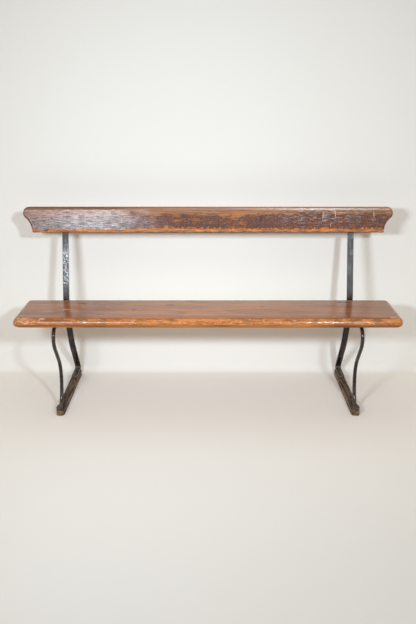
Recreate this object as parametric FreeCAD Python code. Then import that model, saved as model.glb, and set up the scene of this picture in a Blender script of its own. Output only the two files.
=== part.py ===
import FreeCAD, Part
import math
import os

# An old country bench: one thick pine plank for a seat, one shaped pine board for a back, and two
# hand-forged end frames. Each frame is a flat back standard, a round serpentine front leg and a flat
# seat strap, and stands on a wooden runner.
# All sizes are in millimetres and all angles in degrees. X runs along the bench, +Y to its back and +Z
# up. The origin is on the floor, midway between the ends and midway between the seat's front edge and
# the back ends of the runners.

# Whole bench
overall_depth = 522.0  # seat front edge to the back ends of the runners
seat_height = 446.0
frame_inset = 174.0  # end of the seat to the centre plane of its frame
fit_gap = 0.1  # clearance around every fastener and between pieces that lie together
overrun = 5.0  # how far a cutting tool runs past what it cuts

# Seat plank
seat_length = 1630.0
seat_depth = 306.0
seat_thickness = 40.0
seat_front_corner = 34.0
seat_back_corner = 25.0
seat_edge_round = 15.0

# Back board
board_overhang = 10.0  # past each end of the seat
board_height = 115.0
board_thickness = 25.0
board_bottom_reach = 267.0  # up the standard, from the top of its seat bend to the board
board_nose_round = 29.0
board_nose_angle = 50.0  # how far the nose runs below its widest point
board_land = 5.0  # short upright foot below the hollow
board_front_round = 8.0
board_back_round = 3.0

# Back standard, one flat bar from the board down to the runner
bar_width = 27.0
bar_thickness = 10.0
bar_rake_angle = 13.0  # upper part, leaning back
bar_shin_angle = 23.0  # from upright, just below the seat
bar_shin_share = 0.46  # of the height from heel to seat bend, where the shin ends
bar_seat_bend = 220.0
bar_shin_bend_share = 0.43  # of the shin's run, taken up by the bend at its end
bar_heel_bend = 13.0
bar_heel_overhang = 3.0  # sharp corner of the heel's centre line, past the end of the runner
bar_flange_reach = 135.0  # from that corner to the tip of the flange
bar_flange_round = 12.0
bar_top_below_board = 14.0
bar_top_round = 6.0
bar_edge_round = 1.2

# Front leg, one round bar flattened into a palm at each end
leg_offset = 5.0  # outward from the frame's centre plane
leg_diameter = 16.0
leg_setback = 8.5  # seat front edge to the centre of the leg's knee
leg_top_bend = 40.0
leg_knee_bend_share = 0.275  # of the widest pair of bends that the leg's S has room for
leg_calf_bend_share = 0.566  # of the same
leg_ankle_bend = 214.0
leg_kick_angle = 26.0  # from upright, forward at the ankle
leg_toe_bend = 32.0
leg_toe_setback = 8.0  # runner's front end to the tip of the lower palm
top_palm_length = 66.0
top_palm_width = 24.0
top_palm_thickness = 7.0
toe_palm_length = 43.0
toe_palm_width = 27.0
toe_palm_thickness = 6.0
palm_spread_length = 18.0  # round bar to full palm
palm_root_share = 0.6  # of the spread, where the flat tongue starts
palm_edge_round = 1.2

# Seat strap
strap_width = 24.0
strap_thickness = 8.0
strap_front_setback = 46.0
strap_tab_angle = 19.0  # how far the tab runs down the standard's seat bend
strap_outer_round = 7.0
strap_inner_round = 3.0
strap_end_round = 9.0

# Runner
runner_width = 36.0
runner_height = 26.0
runner_front_setback = 23.0
runner_end_round = 13.0
runner_edge_round = 4.0

# Wood screws
screw_radius = 2.6
screw_point_length = 6.0
screw_point_share = 0.25  # of the shank's radius, left at the point
screw_slot_width = 1.2
screw_slot_depth = 1.2
round_head_radius = 5.5
round_head_height = 3.2
sunk_head_radius = 6.0
sunk_head_height = 3.6
sunk_head_recess = 0.8
board_screw_bite = 17.0
board_screw_edge = 30.0  # edge of the board to a screw
seat_screw_bite = 24.0
seat_screw_shares = (0.15, 0.47, 0.8)  # of the way from the palm's tip to the seat's back edge
palm_screw_setback = 26.0  # from the palm's tip
toe_screw_bite = 15.0
toe_screw_setback = 13.0  # from the palm's tip
heel_screw_bite = 13.0
heel_screw_setbacks = (22.0, 72.0)  # from the flange's tip

# Rivets
rivet_radius = 4.0
rivet_head_radius = 6.0
rivet_head_height = 3.2
rivet_sunk_radius = 6.5
rivet_sunk_height = 3.0
leg_rivet_setbacks = (11.0, 41.0)  # from the palm's tip
tab_rivet_angles = (10.5, 15.5)  # down the standard's seat bend

# Places that follow from the sizes above
front_y = -overall_depth / 2
rear_y = overall_depth / 2
seat_back_y = front_y + seat_depth
seat_underside = seat_height - seat_thickness
frame_x = seat_length / 2 - frame_inset
leg_x = frame_x + leg_offset
strap_x = frame_x + leg_offset / 2
bend_y = seat_back_y + fit_gap + bar_thickness / 2 + bar_seat_bend
bend_z = seat_height - seat_thickness / 2
bend_outer = bar_seat_bend + bar_thickness / 2
bend_inner = bar_seat_bend - bar_thickness / 2
heel_y = rear_y + bar_heel_overhang
flange_tip_y = heel_y - bar_flange_reach
heel_z = runner_height + fit_gap + bar_thickness / 2
strap_top = seat_underside - fit_gap
strap_underside = strap_top - strap_thickness
top_palm_z = strap_underside - fit_gap - top_palm_thickness / 2
top_palm_underside = top_palm_z - top_palm_thickness / 2
toe_palm_z = runner_height + fit_gap + toe_palm_thickness / 2
toe_palm_top = toe_palm_z + toe_palm_thickness / 2
knee_y = front_y + leg_setback
top_palm_start_y = knee_y + leg_top_bend
top_palm_tip_y = top_palm_start_y + top_palm_length
runner_start_y = front_y + runner_front_setback
toe_palm_tip_y = runner_start_y + leg_toe_setback
toe_palm_start_y = toe_palm_tip_y + toe_palm_length

ORIGIN = FreeCAD.Vector(0, 0, 0)
X_AXIS = FreeCAD.Vector(1, 0, 0)
BACK = FreeCAD.Vector(0, 1, 0)
UP = FreeCAD.Vector(0, 0, 1)
DOWN = FreeCAD.Vector(0, 0, -1)
SIDES = {"left": -1, "right": 1}
RIGHT_ANGLE = 90
FULL_TURN = 360
STRAIGHT = False
DOMED = True


def sin(degrees):
    return math.sin(math.radians(degrees))


def cos(degrees):
    return math.cos(math.radians(degrees))


def tan(degrees):
    return math.tan(math.radians(degrees))


def vec(x, y, z):
    return FreeCAD.Vector(x, y, z)


def write(shape, node):
    """Writes one node's solids to its file."""
    solids = Part.makeCompound(shape.Solids)
    solids.exportStep(os.path.join("parts", node + ".step"))


def line_edge(start, end):
    return Part.LineSegment(start, end).toShape()


def arc_edge(start, through, end):
    return Part.Arc(start, through, end).toShape()


def box_from(x, y, z, length, depth, height):
    """Box whose lowest corner is at the place given."""
    return Part.makeBox(length, depth, height, vec(x, y, z))


def extrude_outline(edges, along):
    """Closed flat outline pushed along a vector into a solid."""
    outline = Part.Wire(Part.__sortEdges__(edges))
    return Part.Face(outline).extrude(along)


def round_edges(shape, radius, wanted):
    """Rounds the edges that the test picks out."""
    return shape.makeFillet(radius, [edge for edge in shape.Edges if wanted(edge)])


def cut_all(shape, tools):
    for tool in tools:
        shape = shape.cut(tool)
    return shape


def lies_at_height(edge, height):
    return all(abs(vertex.Z - height) < fit_gap / 2 for vertex in edge.Vertexes)


def upright_at(edge, y):
    """True for an upright edge that stands at a given depth."""
    box = edge.BoundBox
    upright = box.XLength < fit_gap and box.YLength < fit_gap
    return upright and abs(box.YMin - y) < fit_gap


# Screws and rivets
def dome_edge(start, end):
    """Part of a circle from a point on the axis to the rim of a head, or back."""
    peak, rim = (start, end) if start.x < end.x else (end, start)
    rise = peak.z - rim.z
    ball_radius = (rim.x ** 2 + rise ** 2) / (2 * abs(rise))
    outward = math.copysign(1, rise)
    centre_z = peak.z - outward * ball_radius
    half_turn = math.asin(rim.x / ball_radius) / 2
    through_x = ball_radius * math.sin(half_turn)
    through_z = centre_z + outward * ball_radius * math.cos(half_turn)
    return arc_edge(start, vec(through_x, 0, through_z), end)


def turned(stations, base, direction):
    """Piece turned on its axis, through stations: radius, place along the axis and how it is reached."""
    points = [vec(radius, 0, along) for radius, along, reached in stations]
    edges = []
    for start, end, station in zip(points, points[1:], stations[1:]):
        reached = station[2]
        edges.append(dome_edge(start, end) if reached == DOMED else line_edge(start, end))
    edges.append(line_edge(points[-1], points[0]))
    solid = Part.Face(Part.Wire(edges)).revolve(ORIGIN, UP, FULL_TURN)
    solid.Placement = FreeCAD.Placement(base, FreeCAD.Rotation(UP, direction))
    return solid


def screw_shank(length):
    """Stations of a screw's shank and point, from below its head."""
    point_start = length - screw_point_length
    point_radius = screw_radius * screw_point_share
    return [
        (screw_radius, point_start, STRAIGHT),
        (point_radius, length, STRAIGHT),
        (0, length, STRAIGHT),
    ]


def slotted(screw, top, direction):
    """Cuts the driver's slot across a head, down from its top."""
    length = sunk_head_radius * 2 + overrun
    slot = box_from(-length / 2, -screw_slot_width / 2, -overrun, length, screw_slot_width, overrun)
    bottom = top + direction * screw_slot_depth
    slot.Placement = FreeCAD.Placement(bottom, FreeCAD.Rotation(UP, direction))
    return screw.cut(slot)


def round_head_screw(face, direction, length):
    """Round-headed wood screw, its head a hair off the metal's face."""
    base = face - direction * fit_gap
    head = [
        (0, -round_head_height, STRAIGHT),
        (round_head_radius, 0, DOMED),
        (screw_radius, 0, STRAIGHT),
    ]
    body = turned(head + screw_shank(length), base, direction)
    return slotted(body, base - direction * round_head_height, direction)


def sunk_screw(face, direction, length):
    """Countersunk wood screw, its head a little below the metal's face."""
    base = face + direction * sunk_head_recess
    head = [
        (0, 0, STRAIGHT),
        (sunk_head_radius, 0, STRAIGHT),
        (screw_radius, sunk_head_height, STRAIGHT),
    ]
    body = turned(head + screw_shank(length - sunk_head_recess), base, direction)
    return slotted(body, base, direction)


def plain_hole(face, direction, radius, depth):
    """Hole a hair wider than its fastener, open at the outer face."""
    length = depth + overrun + fit_gap
    return Part.makeCylinder(radius + fit_gap, length, face - direction * overrun, direction)


def sunk_hole(face, direction, recess, head_radius, head_height, radius, depth):
    """Countersunk hole whose mouth lies at the metal's outer face."""
    base = face + direction * recess
    wide = head_radius + fit_gap
    cone = Part.makeCone(wide, radius + fit_gap, head_height + fit_gap, base, direction)
    mouth = Part.makeCylinder(wide, overrun, base - direction * overrun, direction)
    return cone.fuse(mouth).fuse(plain_hole(face, direction, radius, depth))


def screw_sunk_hole(face, depth):
    return sunk_hole(
        face, DOWN, sunk_head_recess, sunk_head_radius, sunk_head_height, screw_radius, depth
    )


# Centre line of the back standard
def bend_point(turn, radius):
    """Point on the seat bend. The turn is counted down from the foremost point."""
    return vec(0, bend_y - radius * cos(turn), bend_z - radius * sin(turn))


def board_frame():
    """Top of the seat bend on the standard's centre line, the way up it and the way out of its back."""
    origin = bend_point(-bar_rake_angle, bar_seat_bend)
    up = vec(0, sin(bar_rake_angle), cos(bar_rake_angle))
    back = vec(0, cos(bar_rake_angle), -sin(bar_rake_angle))
    return origin, up, back


def standard_line():
    """Corners and bend radii of the standard, from its top end to the tip of its flange."""
    origin, up, back = board_frame()
    top = origin + up * (board_bottom_reach + board_height - bar_top_below_board)
    seat_corner = origin - up * (bar_seat_bend * tan((bar_rake_angle + bar_shin_angle) / 2))
    shin_start = bend_point(bar_shin_angle, bar_seat_bend)
    shin_end_z = heel_z + (bend_z - heel_z) * bar_shin_share
    shin_drop = shin_start.z - shin_end_z
    shin_corner = shin_start + vec(0, tan(bar_shin_angle), -1) * shin_drop
    heel_corner = vec(0, heel_y, heel_z)
    tip = vec(0, flange_tip_y, heel_z)
    shin = shin_corner - shin_start
    half_turn = shin.getAngle(heel_corner - shin_corner) / 2
    shin_bend = shin.Length * bar_shin_bend_share / math.tan(half_turn)
    corners = [top, seat_corner, shin_corner, heel_corner, tip]
    return corners, [bar_seat_bend, shin_bend, bar_heel_bend]


def left_of(direction):
    """Square to a direction in the end view, to its left."""
    return vec(0, -direction.z, direction.y)


def beside_line(corners, radii, distance):
    """Line run beside a bent centre line, its bends wider or tighter to match."""
    moved = []
    changed = []
    for before, corner, after, radius in zip(corners, corners[1:], corners[2:], radii):
        into = (corner - before).normalize()
        out = (after - corner).normalize()
        half = (left_of(into) + left_of(out)).normalize()
        moved.append(corner + half * (distance / half.dot(left_of(into))))
        turns_left = into.cross(out).x > 0
        changed.append(radius - distance if turns_left else radius + distance)
    first = (corners[1] - corners[0]).normalize()
    last = (corners[-1] - corners[-2]).normalize()
    start = corners[0] + left_of(first) * distance
    end = corners[-1] + left_of(last) * distance
    return [start] + moved + [end], changed


def bent_edges(corners, radii):
    """Straight runs joined by a tangent arc at each inner corner."""
    edges = []
    last = corners[0]
    for before, corner, after, radius in zip(corners, corners[1:], corners[2:], radii):
        into = (corner - before).normalize()
        out = (after - corner).normalize()
        half_turn = into.getAngle(out) / 2
        start = corner - into * (radius * math.tan(half_turn))
        end = corner + out * (radius * math.tan(half_turn))
        inward = (out - into).normalize()
        through = corner + inward * (radius / math.cos(half_turn) - radius)
        edges.append(line_edge(last, start))
        edges.append(arc_edge(start, through, end))
        last = end
    edges.append(line_edge(last, corners[-1]))
    return edges


def back_standard(side):
    """Flat bar: raked upright, bend round the seat's back edge, leg, heel and flange."""
    corners, radii = standard_line()
    front_corners, front_radii = beside_line(corners, radii, bar_thickness / 2)
    rear_corners, rear_radii = beside_line(corners, radii, -bar_thickness / 2)
    outline = bent_edges(front_corners, front_radii) + bent_edges(rear_corners, rear_radii)
    outline.append(line_edge(front_corners[0], rear_corners[0]))
    outline.append(line_edge(front_corners[-1], rear_corners[-1]))
    bar = extrude_outline(outline, X_AXIS * bar_width)
    bar.translate(X_AXIS * (side * frame_x - bar_width / 2))
    top = corners[0]

    def at_top(edge):
        middle = edge.CenterOfMass
        across = abs(edge.Length - bar_thickness) < fit_gap
        return across and (middle - vec(middle.x, top.y, top.z)).Length < fit_gap

    def along_bar(edge):
        return edge.BoundBox.XLength < fit_gap and edge.Length > bar_thickness + fit_gap

    bar = round_edges(bar, bar_flange_round, lambda edge: upright_at(edge, flange_tip_y))
    bar = round_edges(bar, bar_top_round, at_top)
    bar = round_edges(bar, bar_edge_round, along_bar)
    return cut_all(bar, board_screw_holes(side) + tab_rivet_holes(side) + heel_screw_holes(side))


# Seat plank
def seat_outline():
    """Outline of the seat from above, with larger corners at the front."""
    half = seat_length / 2
    edges = []
    slant = sin(RIGHT_ANGLE / 2)
    for y, radius, inward in ((front_y, seat_front_corner, 1), (seat_back_y, seat_back_corner, -1)):
        for side in SIDES.values():
            centre = vec(side * (half - radius), y + inward * radius, seat_underside)
            on_end = centre + X_AXIS * (side * radius)
            on_side = centre - BACK * (inward * radius)
            through = centre + vec(side, -inward, 0) * (slant * radius)
            edges.append(arc_edge(on_end, through, on_side))
        reach = half - radius
        edges.append(line_edge(vec(-reach, y, seat_underside), vec(reach, y, seat_underside)))
    for side in SIDES.values():
        front_end = vec(side * half, front_y + seat_front_corner, seat_underside)
        back_end = vec(side * half, seat_back_y - seat_back_corner, seat_underside)
        edges.append(line_edge(front_end, back_end))
    return edges


def seat_plank():
    """One plank with rounded corners and well-worn round edges, drilled from below."""
    plank = extrude_outline(seat_outline(), UP * seat_thickness)

    def on_rim(edge):
        return lies_at_height(edge, seat_height) or lies_at_height(edge, seat_underside)

    plank = round_edges(plank, seat_edge_round, on_rim)
    for side in SIDES.values():
        plank = cut_all(plank, seat_screw_holes(side))
    return plank


# Back board
def board_outline():
    """Outline of the board's face, with a round nose and a hollow below it at each end."""
    origin, up, back = board_frame()
    turn = board_nose_angle
    nose_x = seat_length / 2 + board_overhang - board_nose_round
    nose_height = board_height - board_nose_round
    join_x = nose_x + board_nose_round * cos(turn)
    join_height = nose_height - board_nose_round * sin(turn)
    hollow_round = (join_height - board_land) / sin(turn)
    foot_x = join_x - hollow_round * (1 - cos(turn))

    def place(side, x, height):
        return origin + X_AXIS * (side * x) + up * (board_bottom_reach + height)

    def on_nose(side, angle):
        x = nose_x + board_nose_round * cos(angle)
        return place(side, x, nose_height + board_nose_round * sin(angle))

    def on_hollow(side, angle):
        x = foot_x + hollow_round * (1 - cos(angle))
        return place(side, x, board_land + hollow_round * sin(angle))

    edges = [
        line_edge(place(-1, nose_x, board_height), place(1, nose_x, board_height)),
        line_edge(place(-1, foot_x, 0), place(1, foot_x, 0)),
    ]
    nose_middle = (RIGHT_ANGLE - turn) / 2
    for side in SIDES.values():
        nose_top = on_nose(side, RIGHT_ANGLE)
        edges.append(arc_edge(nose_top, on_nose(side, nose_middle), on_nose(side, -turn)))
        edges.append(arc_edge(on_hollow(side, turn), on_hollow(side, turn / 2), on_hollow(side, 0)))
        edges.append(line_edge(place(side, foot_x, board_land), place(side, foot_x, 0)))
    return edges


def back_board():
    """Board with shaped ends, rounded more at the front, screwed to the standards from behind."""
    origin, up, back = board_frame()
    board = extrude_outline(board_outline(), back * -board_thickness)
    back_gap = bar_thickness / 2 + fit_gap
    board.translate(back * -back_gap)
    back_plane = back.dot(origin) - back_gap
    front_plane = back_plane - board_thickness

    def on_plane(edge, plane):
        return all(abs(back.dot(vertex.Point) - plane) < fit_gap / 2 for vertex in edge.Vertexes)

    board = round_edges(board, board_front_round, lambda edge: on_plane(edge, front_plane))
    board = round_edges(board, board_back_round, lambda edge: on_plane(edge, back_plane))
    for side in SIDES.values():
        board = cut_all(board, board_screw_holes(side))
    return board


def board_screw_faces(side):
    """Where the board's screws enter the back of a standard, and which way they run."""
    origin, up, back = board_frame()
    face = origin + X_AXIS * (side * frame_x) + back * (bar_thickness / 2)
    low = board_bottom_reach + board_screw_edge
    high = board_bottom_reach + board_height - board_screw_edge
    return [face + up * low, face + up * high], back * -1


def board_screw_length():
    return bar_thickness + board_screw_bite


def board_screw_holes(side):
    faces, direction = board_screw_faces(side)
    return [plain_hole(face, direction, screw_radius, board_screw_length()) for face in faces]


def board_screws(side):
    faces, direction = board_screw_faces(side)
    screws = [round_head_screw(face, direction, board_screw_length()) for face in faces]
    return Part.makeCompound(screws)


# Front leg
def leg_path():
    """Edges of the leg's centre line from palm to palm, and the two ends of that line.

    The slope between knee and calf is the line that touches both bends.
    """
    kick = leg_kick_angle
    start = vec(0, top_palm_start_y, top_palm_z)
    toe = vec(0, toe_palm_start_y, toe_palm_z)
    top_centre = start - UP * leg_top_bend
    toe_centre = toe + UP * leg_toe_bend
    ankle_centre = toe_centre + vec(0, cos(kick), -sin(kick)) * (leg_toe_bend - leg_ankle_bend)
    knee = top_centre - BACK * leg_top_bend
    calf = ankle_centre + BACK * leg_ankle_bend
    widest_pair = (calf - knee).Length ** 2 / (2 * (calf.y - knee.y))
    knee_bend = widest_pair * leg_knee_bend_share
    calf_bend = widest_pair * leg_calf_bend_share
    knee_centre = knee + BACK * knee_bend
    calf_centre = calf - BACK * calf_bend
    across = calf_centre - knee_centre
    lean = math.atan2(across.z, across.y)
    slope = math.degrees(lean + math.acos(-(knee_bend + calf_bend) / across.Length))

    def on_knee(turn):
        return knee_centre - vec(0, cos(turn), sin(turn)) * knee_bend

    def on_calf(turn):
        return calf_centre + vec(0, cos(turn), sin(turn)) * calf_bend

    def on_ankle(turn):
        return ankle_centre + vec(0, cos(turn), -sin(turn)) * leg_ankle_bend

    def on_toe(turn):
        return toe_centre + vec(0, cos(turn), -sin(turn)) * leg_toe_bend

    top_through = top_centre + vec(0, -1, 1) * (sin(RIGHT_ANGLE / 2) * leg_top_bend)
    edges = [
        arc_edge(start, top_through, knee),
        arc_edge(knee, on_knee(slope / 2), on_knee(slope)),
        line_edge(on_knee(slope), on_calf(slope)),
        arc_edge(on_calf(slope), on_calf(slope / 2), calf),
        arc_edge(calf, on_ankle(kick / 2), on_ankle(kick)),
        arc_edge(on_ankle(kick), on_toe((RIGHT_ANGLE + kick) / 2), toe),
    ]
    return edges, start, toe


def palm(base, outward, length, width, thickness):
    """Flat tongue with round ends, running along Y, and the forged spread from the round bar."""
    spread_end = base + outward * palm_spread_length
    round_wire = Part.Wire(Part.Circle(base, outward, leg_diameter / 2).toShape())
    wide_point = spread_end + X_AXIS * (width / 2)
    thick_point = spread_end + UP * (thickness / 2)
    flat_wire = Part.Wire(Part.Ellipse(wide_point, thick_point, spread_end).toShape())
    spread = Part.makeLoft([round_wire, flat_wire], True)
    root_y = base.y + outward.y * palm_spread_length * palm_root_share
    tip_y = base.y + outward.y * length
    low_y = min(root_y, tip_y)
    tongue_length = abs(tip_y - root_y)
    tongue = box_from(-width / 2, low_y, base.z - thickness / 2, width, tongue_length, thickness)
    end_round = width / 2 - palm_edge_round

    def at_end(edge):
        return upright_at(edge, tip_y) or upright_at(edge, root_y)

    tongue = round_edges(tongue, end_round, at_end)
    tongue = round_edges(tongue, palm_edge_round, lambda edge: edge.BoundBox.ZLength < fit_gap)
    return spread.fuse(tongue)


def flat_level(low_z):
    """Block that planes the leg flat from one height up, where a palm lies against its neighbour."""
    start_y = front_y - leg_diameter
    return box_from(-leg_diameter, start_y, low_z, leg_diameter * 2, overall_depth, leg_diameter)


def front_leg(side):
    """Round bar bent to an S, with a palm under the seat strap and another on the runner."""
    edges, start, toe = leg_path()
    ring = Part.Wire(Part.Circle(start, BACK, leg_diameter / 2).toShape())
    bar = Part.Wire(edges).makePipeShell([ring], True, False)
    top_palm = palm(start, BACK, top_palm_length, top_palm_width, top_palm_thickness)
    toe_palm = palm(toe, BACK * -1, toe_palm_length, toe_palm_width, toe_palm_thickness)
    leg = bar.fuse(top_palm).fuse(toe_palm)
    leg = leg.cut(flat_level(top_palm_z + top_palm_thickness / 2))
    leg = leg.cut(flat_level(toe_palm_z - toe_palm_thickness / 2 - leg_diameter))
    leg.translate(X_AXIS * (side * leg_x))
    return cut_all(leg, leg_rivet_holes(side) + seat_screw_holes(side) + toe_screw_holes(side))


# Seat strap
def seat_strap(side):
    """Flat bar under the seat, its back end turned down along the standard's bend."""
    inner = bend_outer + fit_gap
    outer = inner + strap_thickness
    x_low = side * strap_x - strap_width / 2
    cut_x = x_low - overrun
    cut_width = strap_width + overrun * 2
    start_y = front_y + strap_front_setback
    flat = box_from(x_low, start_y, strap_underside, strap_width, bend_y - start_y, strap_thickness)
    centre = vec(x_low, bend_y, bend_z)
    ring = Part.makeCylinder(outer, strap_width, centre, X_AXIS)
    hollow = Part.makeCylinder(inner, cut_width, centre - X_AXIS * overrun, X_AXIS)
    end = bend_point(strap_tab_angle, outer)
    tab_height = strap_top - end.z
    tab = ring.common(box_from(cut_x, front_y, end.z, cut_width, bend_y - front_y, tab_height))
    strap = flat.fuse(tab).cut(hollow).removeSplitter()
    top_corner_y = bend_y - math.sqrt(inner ** 2 - (bend_z - strap_top) ** 2)
    inner_corner_y = bend_y - math.sqrt(outer ** 2 - (bend_z - strap_underside) ** 2)

    def crosses_at(edge, y, z):
        middle = edge.CenterOfMass
        full_width = abs(edge.BoundBox.XLength - strap_width) < fit_gap
        return full_width and math.hypot(middle.y - y, middle.z - z) < fit_gap

    def at_top_corner(edge):
        return crosses_at(edge, top_corner_y, strap_top)

    def at_inner_corner(edge):
        return crosses_at(edge, inner_corner_y, strap_underside)

    def at_end_corner(edge):
        on_tab = edge.BoundBox.XLength < fit_gap and lies_at_height(edge, end.z)
        return on_tab or upright_at(edge, start_y)

    strap = round_edges(strap, strap_outer_round, at_top_corner)
    strap = round_edges(strap, strap_inner_round, at_inner_corner)
    strap = round_edges(strap, strap_end_round, at_end_corner)
    return cut_all(strap, leg_rivet_holes(side) + seat_screw_holes(side) + tab_rivet_holes(side))


def seat_screw_seats(side):
    """Underside of the iron at each seat screw, and the screw's full length from there."""
    palm_y = top_palm_tip_y - palm_screw_setback
    places = [vec(side * (leg_x + strap_x) / 2, palm_y, top_palm_underside)]
    for share in seat_screw_shares:
        y = top_palm_tip_y + (seat_back_y - top_palm_tip_y) * share
        places.append(vec(side * strap_x, y, strap_underside))
    return [(place, seat_underside - place.z + seat_screw_bite) for place in places]


def seat_screws(side):
    screws = [round_head_screw(place, UP, length) for place, length in seat_screw_seats(side)]
    return Part.makeCompound(screws)


def seat_screw_holes(side):
    return [plain_hole(place, UP, screw_radius, length) for place, length in seat_screw_seats(side)]


# Rivets of each end frame
def leg_rivet_places(side):
    """Points on top of the strap above each rivet of the leg's palm."""
    x = side * (leg_x + strap_x) / 2
    return [vec(x, top_palm_tip_y - setback, strap_top) for setback in leg_rivet_setbacks]


def leg_rivets(side):
    """Rivets hammered flush under the seat, with a round head below the palm."""
    grip = strap_top - top_palm_underside + fit_gap
    stations = [
        (0, 0, STRAIGHT),
        (rivet_sunk_radius, 0, STRAIGHT),
        (rivet_radius, rivet_sunk_height, STRAIGHT),
        (rivet_radius, grip, STRAIGHT),
        (rivet_head_radius, grip, STRAIGHT),
        (0, grip + rivet_head_height, DOMED),
    ]
    return Part.makeCompound([turned(stations, place, DOWN) for place in leg_rivet_places(side)])


def leg_rivet_holes(side):
    depth = strap_top - top_palm_underside + overrun
    holes = []
    for place in leg_rivet_places(side):
        holes.append(sunk_hole(place, DOWN, 0, rivet_sunk_radius, rivet_sunk_height, rivet_radius, depth))
    return holes


def tab_rivet_lines(side):
    """For each rivet of the tab: the tab's front face, the way in, and the metal's thickness."""
    lines = []
    for turn in tab_rivet_angles:
        face = bend_point(turn, bend_outer + fit_gap + strap_thickness)
        far = bend_point(turn, bend_inner)
        inward = (far - face).normalize()
        lines.append((face + X_AXIS * (side * strap_x), inward, (far - face).Length))
    return lines


def tab_rivets(side):
    """Round-headed rivets through the strap's tab and the standard."""
    rivets = []
    for face, inward, grip in tab_rivet_lines(side):
        far = grip + fit_gap * 2
        stations = [
            (0, -rivet_head_height - fit_gap, STRAIGHT),
            (rivet_head_radius, -fit_gap, DOMED),
            (rivet_radius, -fit_gap, STRAIGHT),
            (rivet_radius, far, STRAIGHT),
            (rivet_head_radius, far, STRAIGHT),
            (0, far + rivet_head_height, DOMED),
        ]
        rivets.append(turned(stations, face, inward))
    return Part.makeCompound(rivets)


def tab_rivet_holes(side):
    holes = []
    for face, inward, grip in tab_rivet_lines(side):
        holes.append(plain_hole(face, inward, rivet_radius, grip + overrun))
    return holes


# Screws into the runners
def toe_screw_face(side):
    return vec(side * leg_x, toe_palm_tip_y + toe_screw_setback, toe_palm_top)


def toe_screw_length():
    return toe_palm_thickness + toe_screw_bite


def toe_screw(side):
    return sunk_screw(toe_screw_face(side), DOWN, toe_screw_length())


def toe_screw_holes(side):
    return [screw_sunk_hole(toe_screw_face(side), toe_screw_length())]


def heel_screw_faces(side):
    top = heel_z + bar_thickness / 2
    return [vec(side * frame_x, flange_tip_y + setback, top) for setback in heel_screw_setbacks]


def heel_screw_length():
    return bar_thickness + heel_screw_bite


def heel_screws(side):
    screws = [sunk_screw(face, DOWN, heel_screw_length()) for face in heel_screw_faces(side)]
    return Part.makeCompound(screws)


def heel_screw_holes(side):
    return [screw_sunk_hole(face, heel_screw_length()) for face in heel_screw_faces(side)]


# Runner
def foot_runner(side):
    """Wooden runner under one end frame, rounded at both ends and along its top."""
    x_low = side * frame_x - runner_width / 2
    length = rear_y - runner_start_y
    runner = box_from(x_low, runner_start_y, 0, runner_width, length, runner_height)

    def at_end(edge):
        return upright_at(edge, runner_start_y) or upright_at(edge, rear_y)

    runner = round_edges(runner, runner_end_round, at_end)
    runner = round_edges(runner, runner_edge_round, lambda edge: lies_at_height(edge, runner_height))
    return cut_all(runner, toe_screw_holes(side) + heel_screw_holes(side))


os.makedirs("parts", exist_ok=True)
write(seat_plank(), "seat_plank")
write(back_board(), "back_board")
for name, side in SIDES.items():
    write(back_standard(side), name + "_back_standard")
    write(front_leg(side), name + "_front_leg")
    write(seat_strap(side), name + "_seat_strap")
    write(foot_runner(side), name + "_foot_runner")
    write(board_screws(side), name + "_back_board_screws")
    write(seat_screws(side), name + "_seat_screws")
    write(toe_screw(side), name + "_front_foot_screw")
    write(heel_screws(side), name + "_rear_foot_screws")
    write(leg_rivets(side), name + "_leg_rivets")
    write(tab_rivets(side), name + "_strap_rivets")
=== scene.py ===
import math

import bpy
import bmesh
import numpy as np
from bpy.props import FloatProperty, FloatVectorProperty, PointerProperty
from mathutils import Matrix, Vector, noise


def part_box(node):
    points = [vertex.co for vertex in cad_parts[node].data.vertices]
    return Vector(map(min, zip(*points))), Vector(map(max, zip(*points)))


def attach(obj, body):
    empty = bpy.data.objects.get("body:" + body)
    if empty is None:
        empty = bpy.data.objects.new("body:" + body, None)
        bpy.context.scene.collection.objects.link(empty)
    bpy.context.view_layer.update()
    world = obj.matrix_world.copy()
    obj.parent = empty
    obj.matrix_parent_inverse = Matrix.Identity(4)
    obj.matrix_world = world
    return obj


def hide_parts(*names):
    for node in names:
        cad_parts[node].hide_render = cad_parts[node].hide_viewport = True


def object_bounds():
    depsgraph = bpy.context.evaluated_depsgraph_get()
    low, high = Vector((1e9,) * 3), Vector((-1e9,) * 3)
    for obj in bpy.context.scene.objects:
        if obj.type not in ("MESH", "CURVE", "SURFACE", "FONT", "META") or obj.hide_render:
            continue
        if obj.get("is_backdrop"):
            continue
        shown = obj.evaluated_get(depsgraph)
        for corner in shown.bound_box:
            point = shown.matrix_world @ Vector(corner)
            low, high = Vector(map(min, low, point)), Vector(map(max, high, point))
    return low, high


# An old country bench: a thick pine plank on two forged iron end frames, with a shaped back board.
# Lengths are in metres. X runs along the bench, +Y to its back and +Z up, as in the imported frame.

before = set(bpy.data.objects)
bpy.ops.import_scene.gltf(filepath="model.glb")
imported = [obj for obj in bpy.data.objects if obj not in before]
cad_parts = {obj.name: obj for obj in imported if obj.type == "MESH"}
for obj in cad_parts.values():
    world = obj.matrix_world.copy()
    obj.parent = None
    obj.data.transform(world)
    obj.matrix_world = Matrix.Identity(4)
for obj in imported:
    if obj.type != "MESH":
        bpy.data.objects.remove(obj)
CAD_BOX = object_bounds()

bl_info = {
    "name": "Country bench",
    "version": (1, 0, 0),
    "blender": (4, 5, 0),
    "location": "View3D > Sidebar > Bench",
    "description": "Dresses an old pine and wrought-iron bench around its packed frame",
    "category": "Add Mesh",
}

BODY = "root"
SIDES = ("left", "right")

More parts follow.
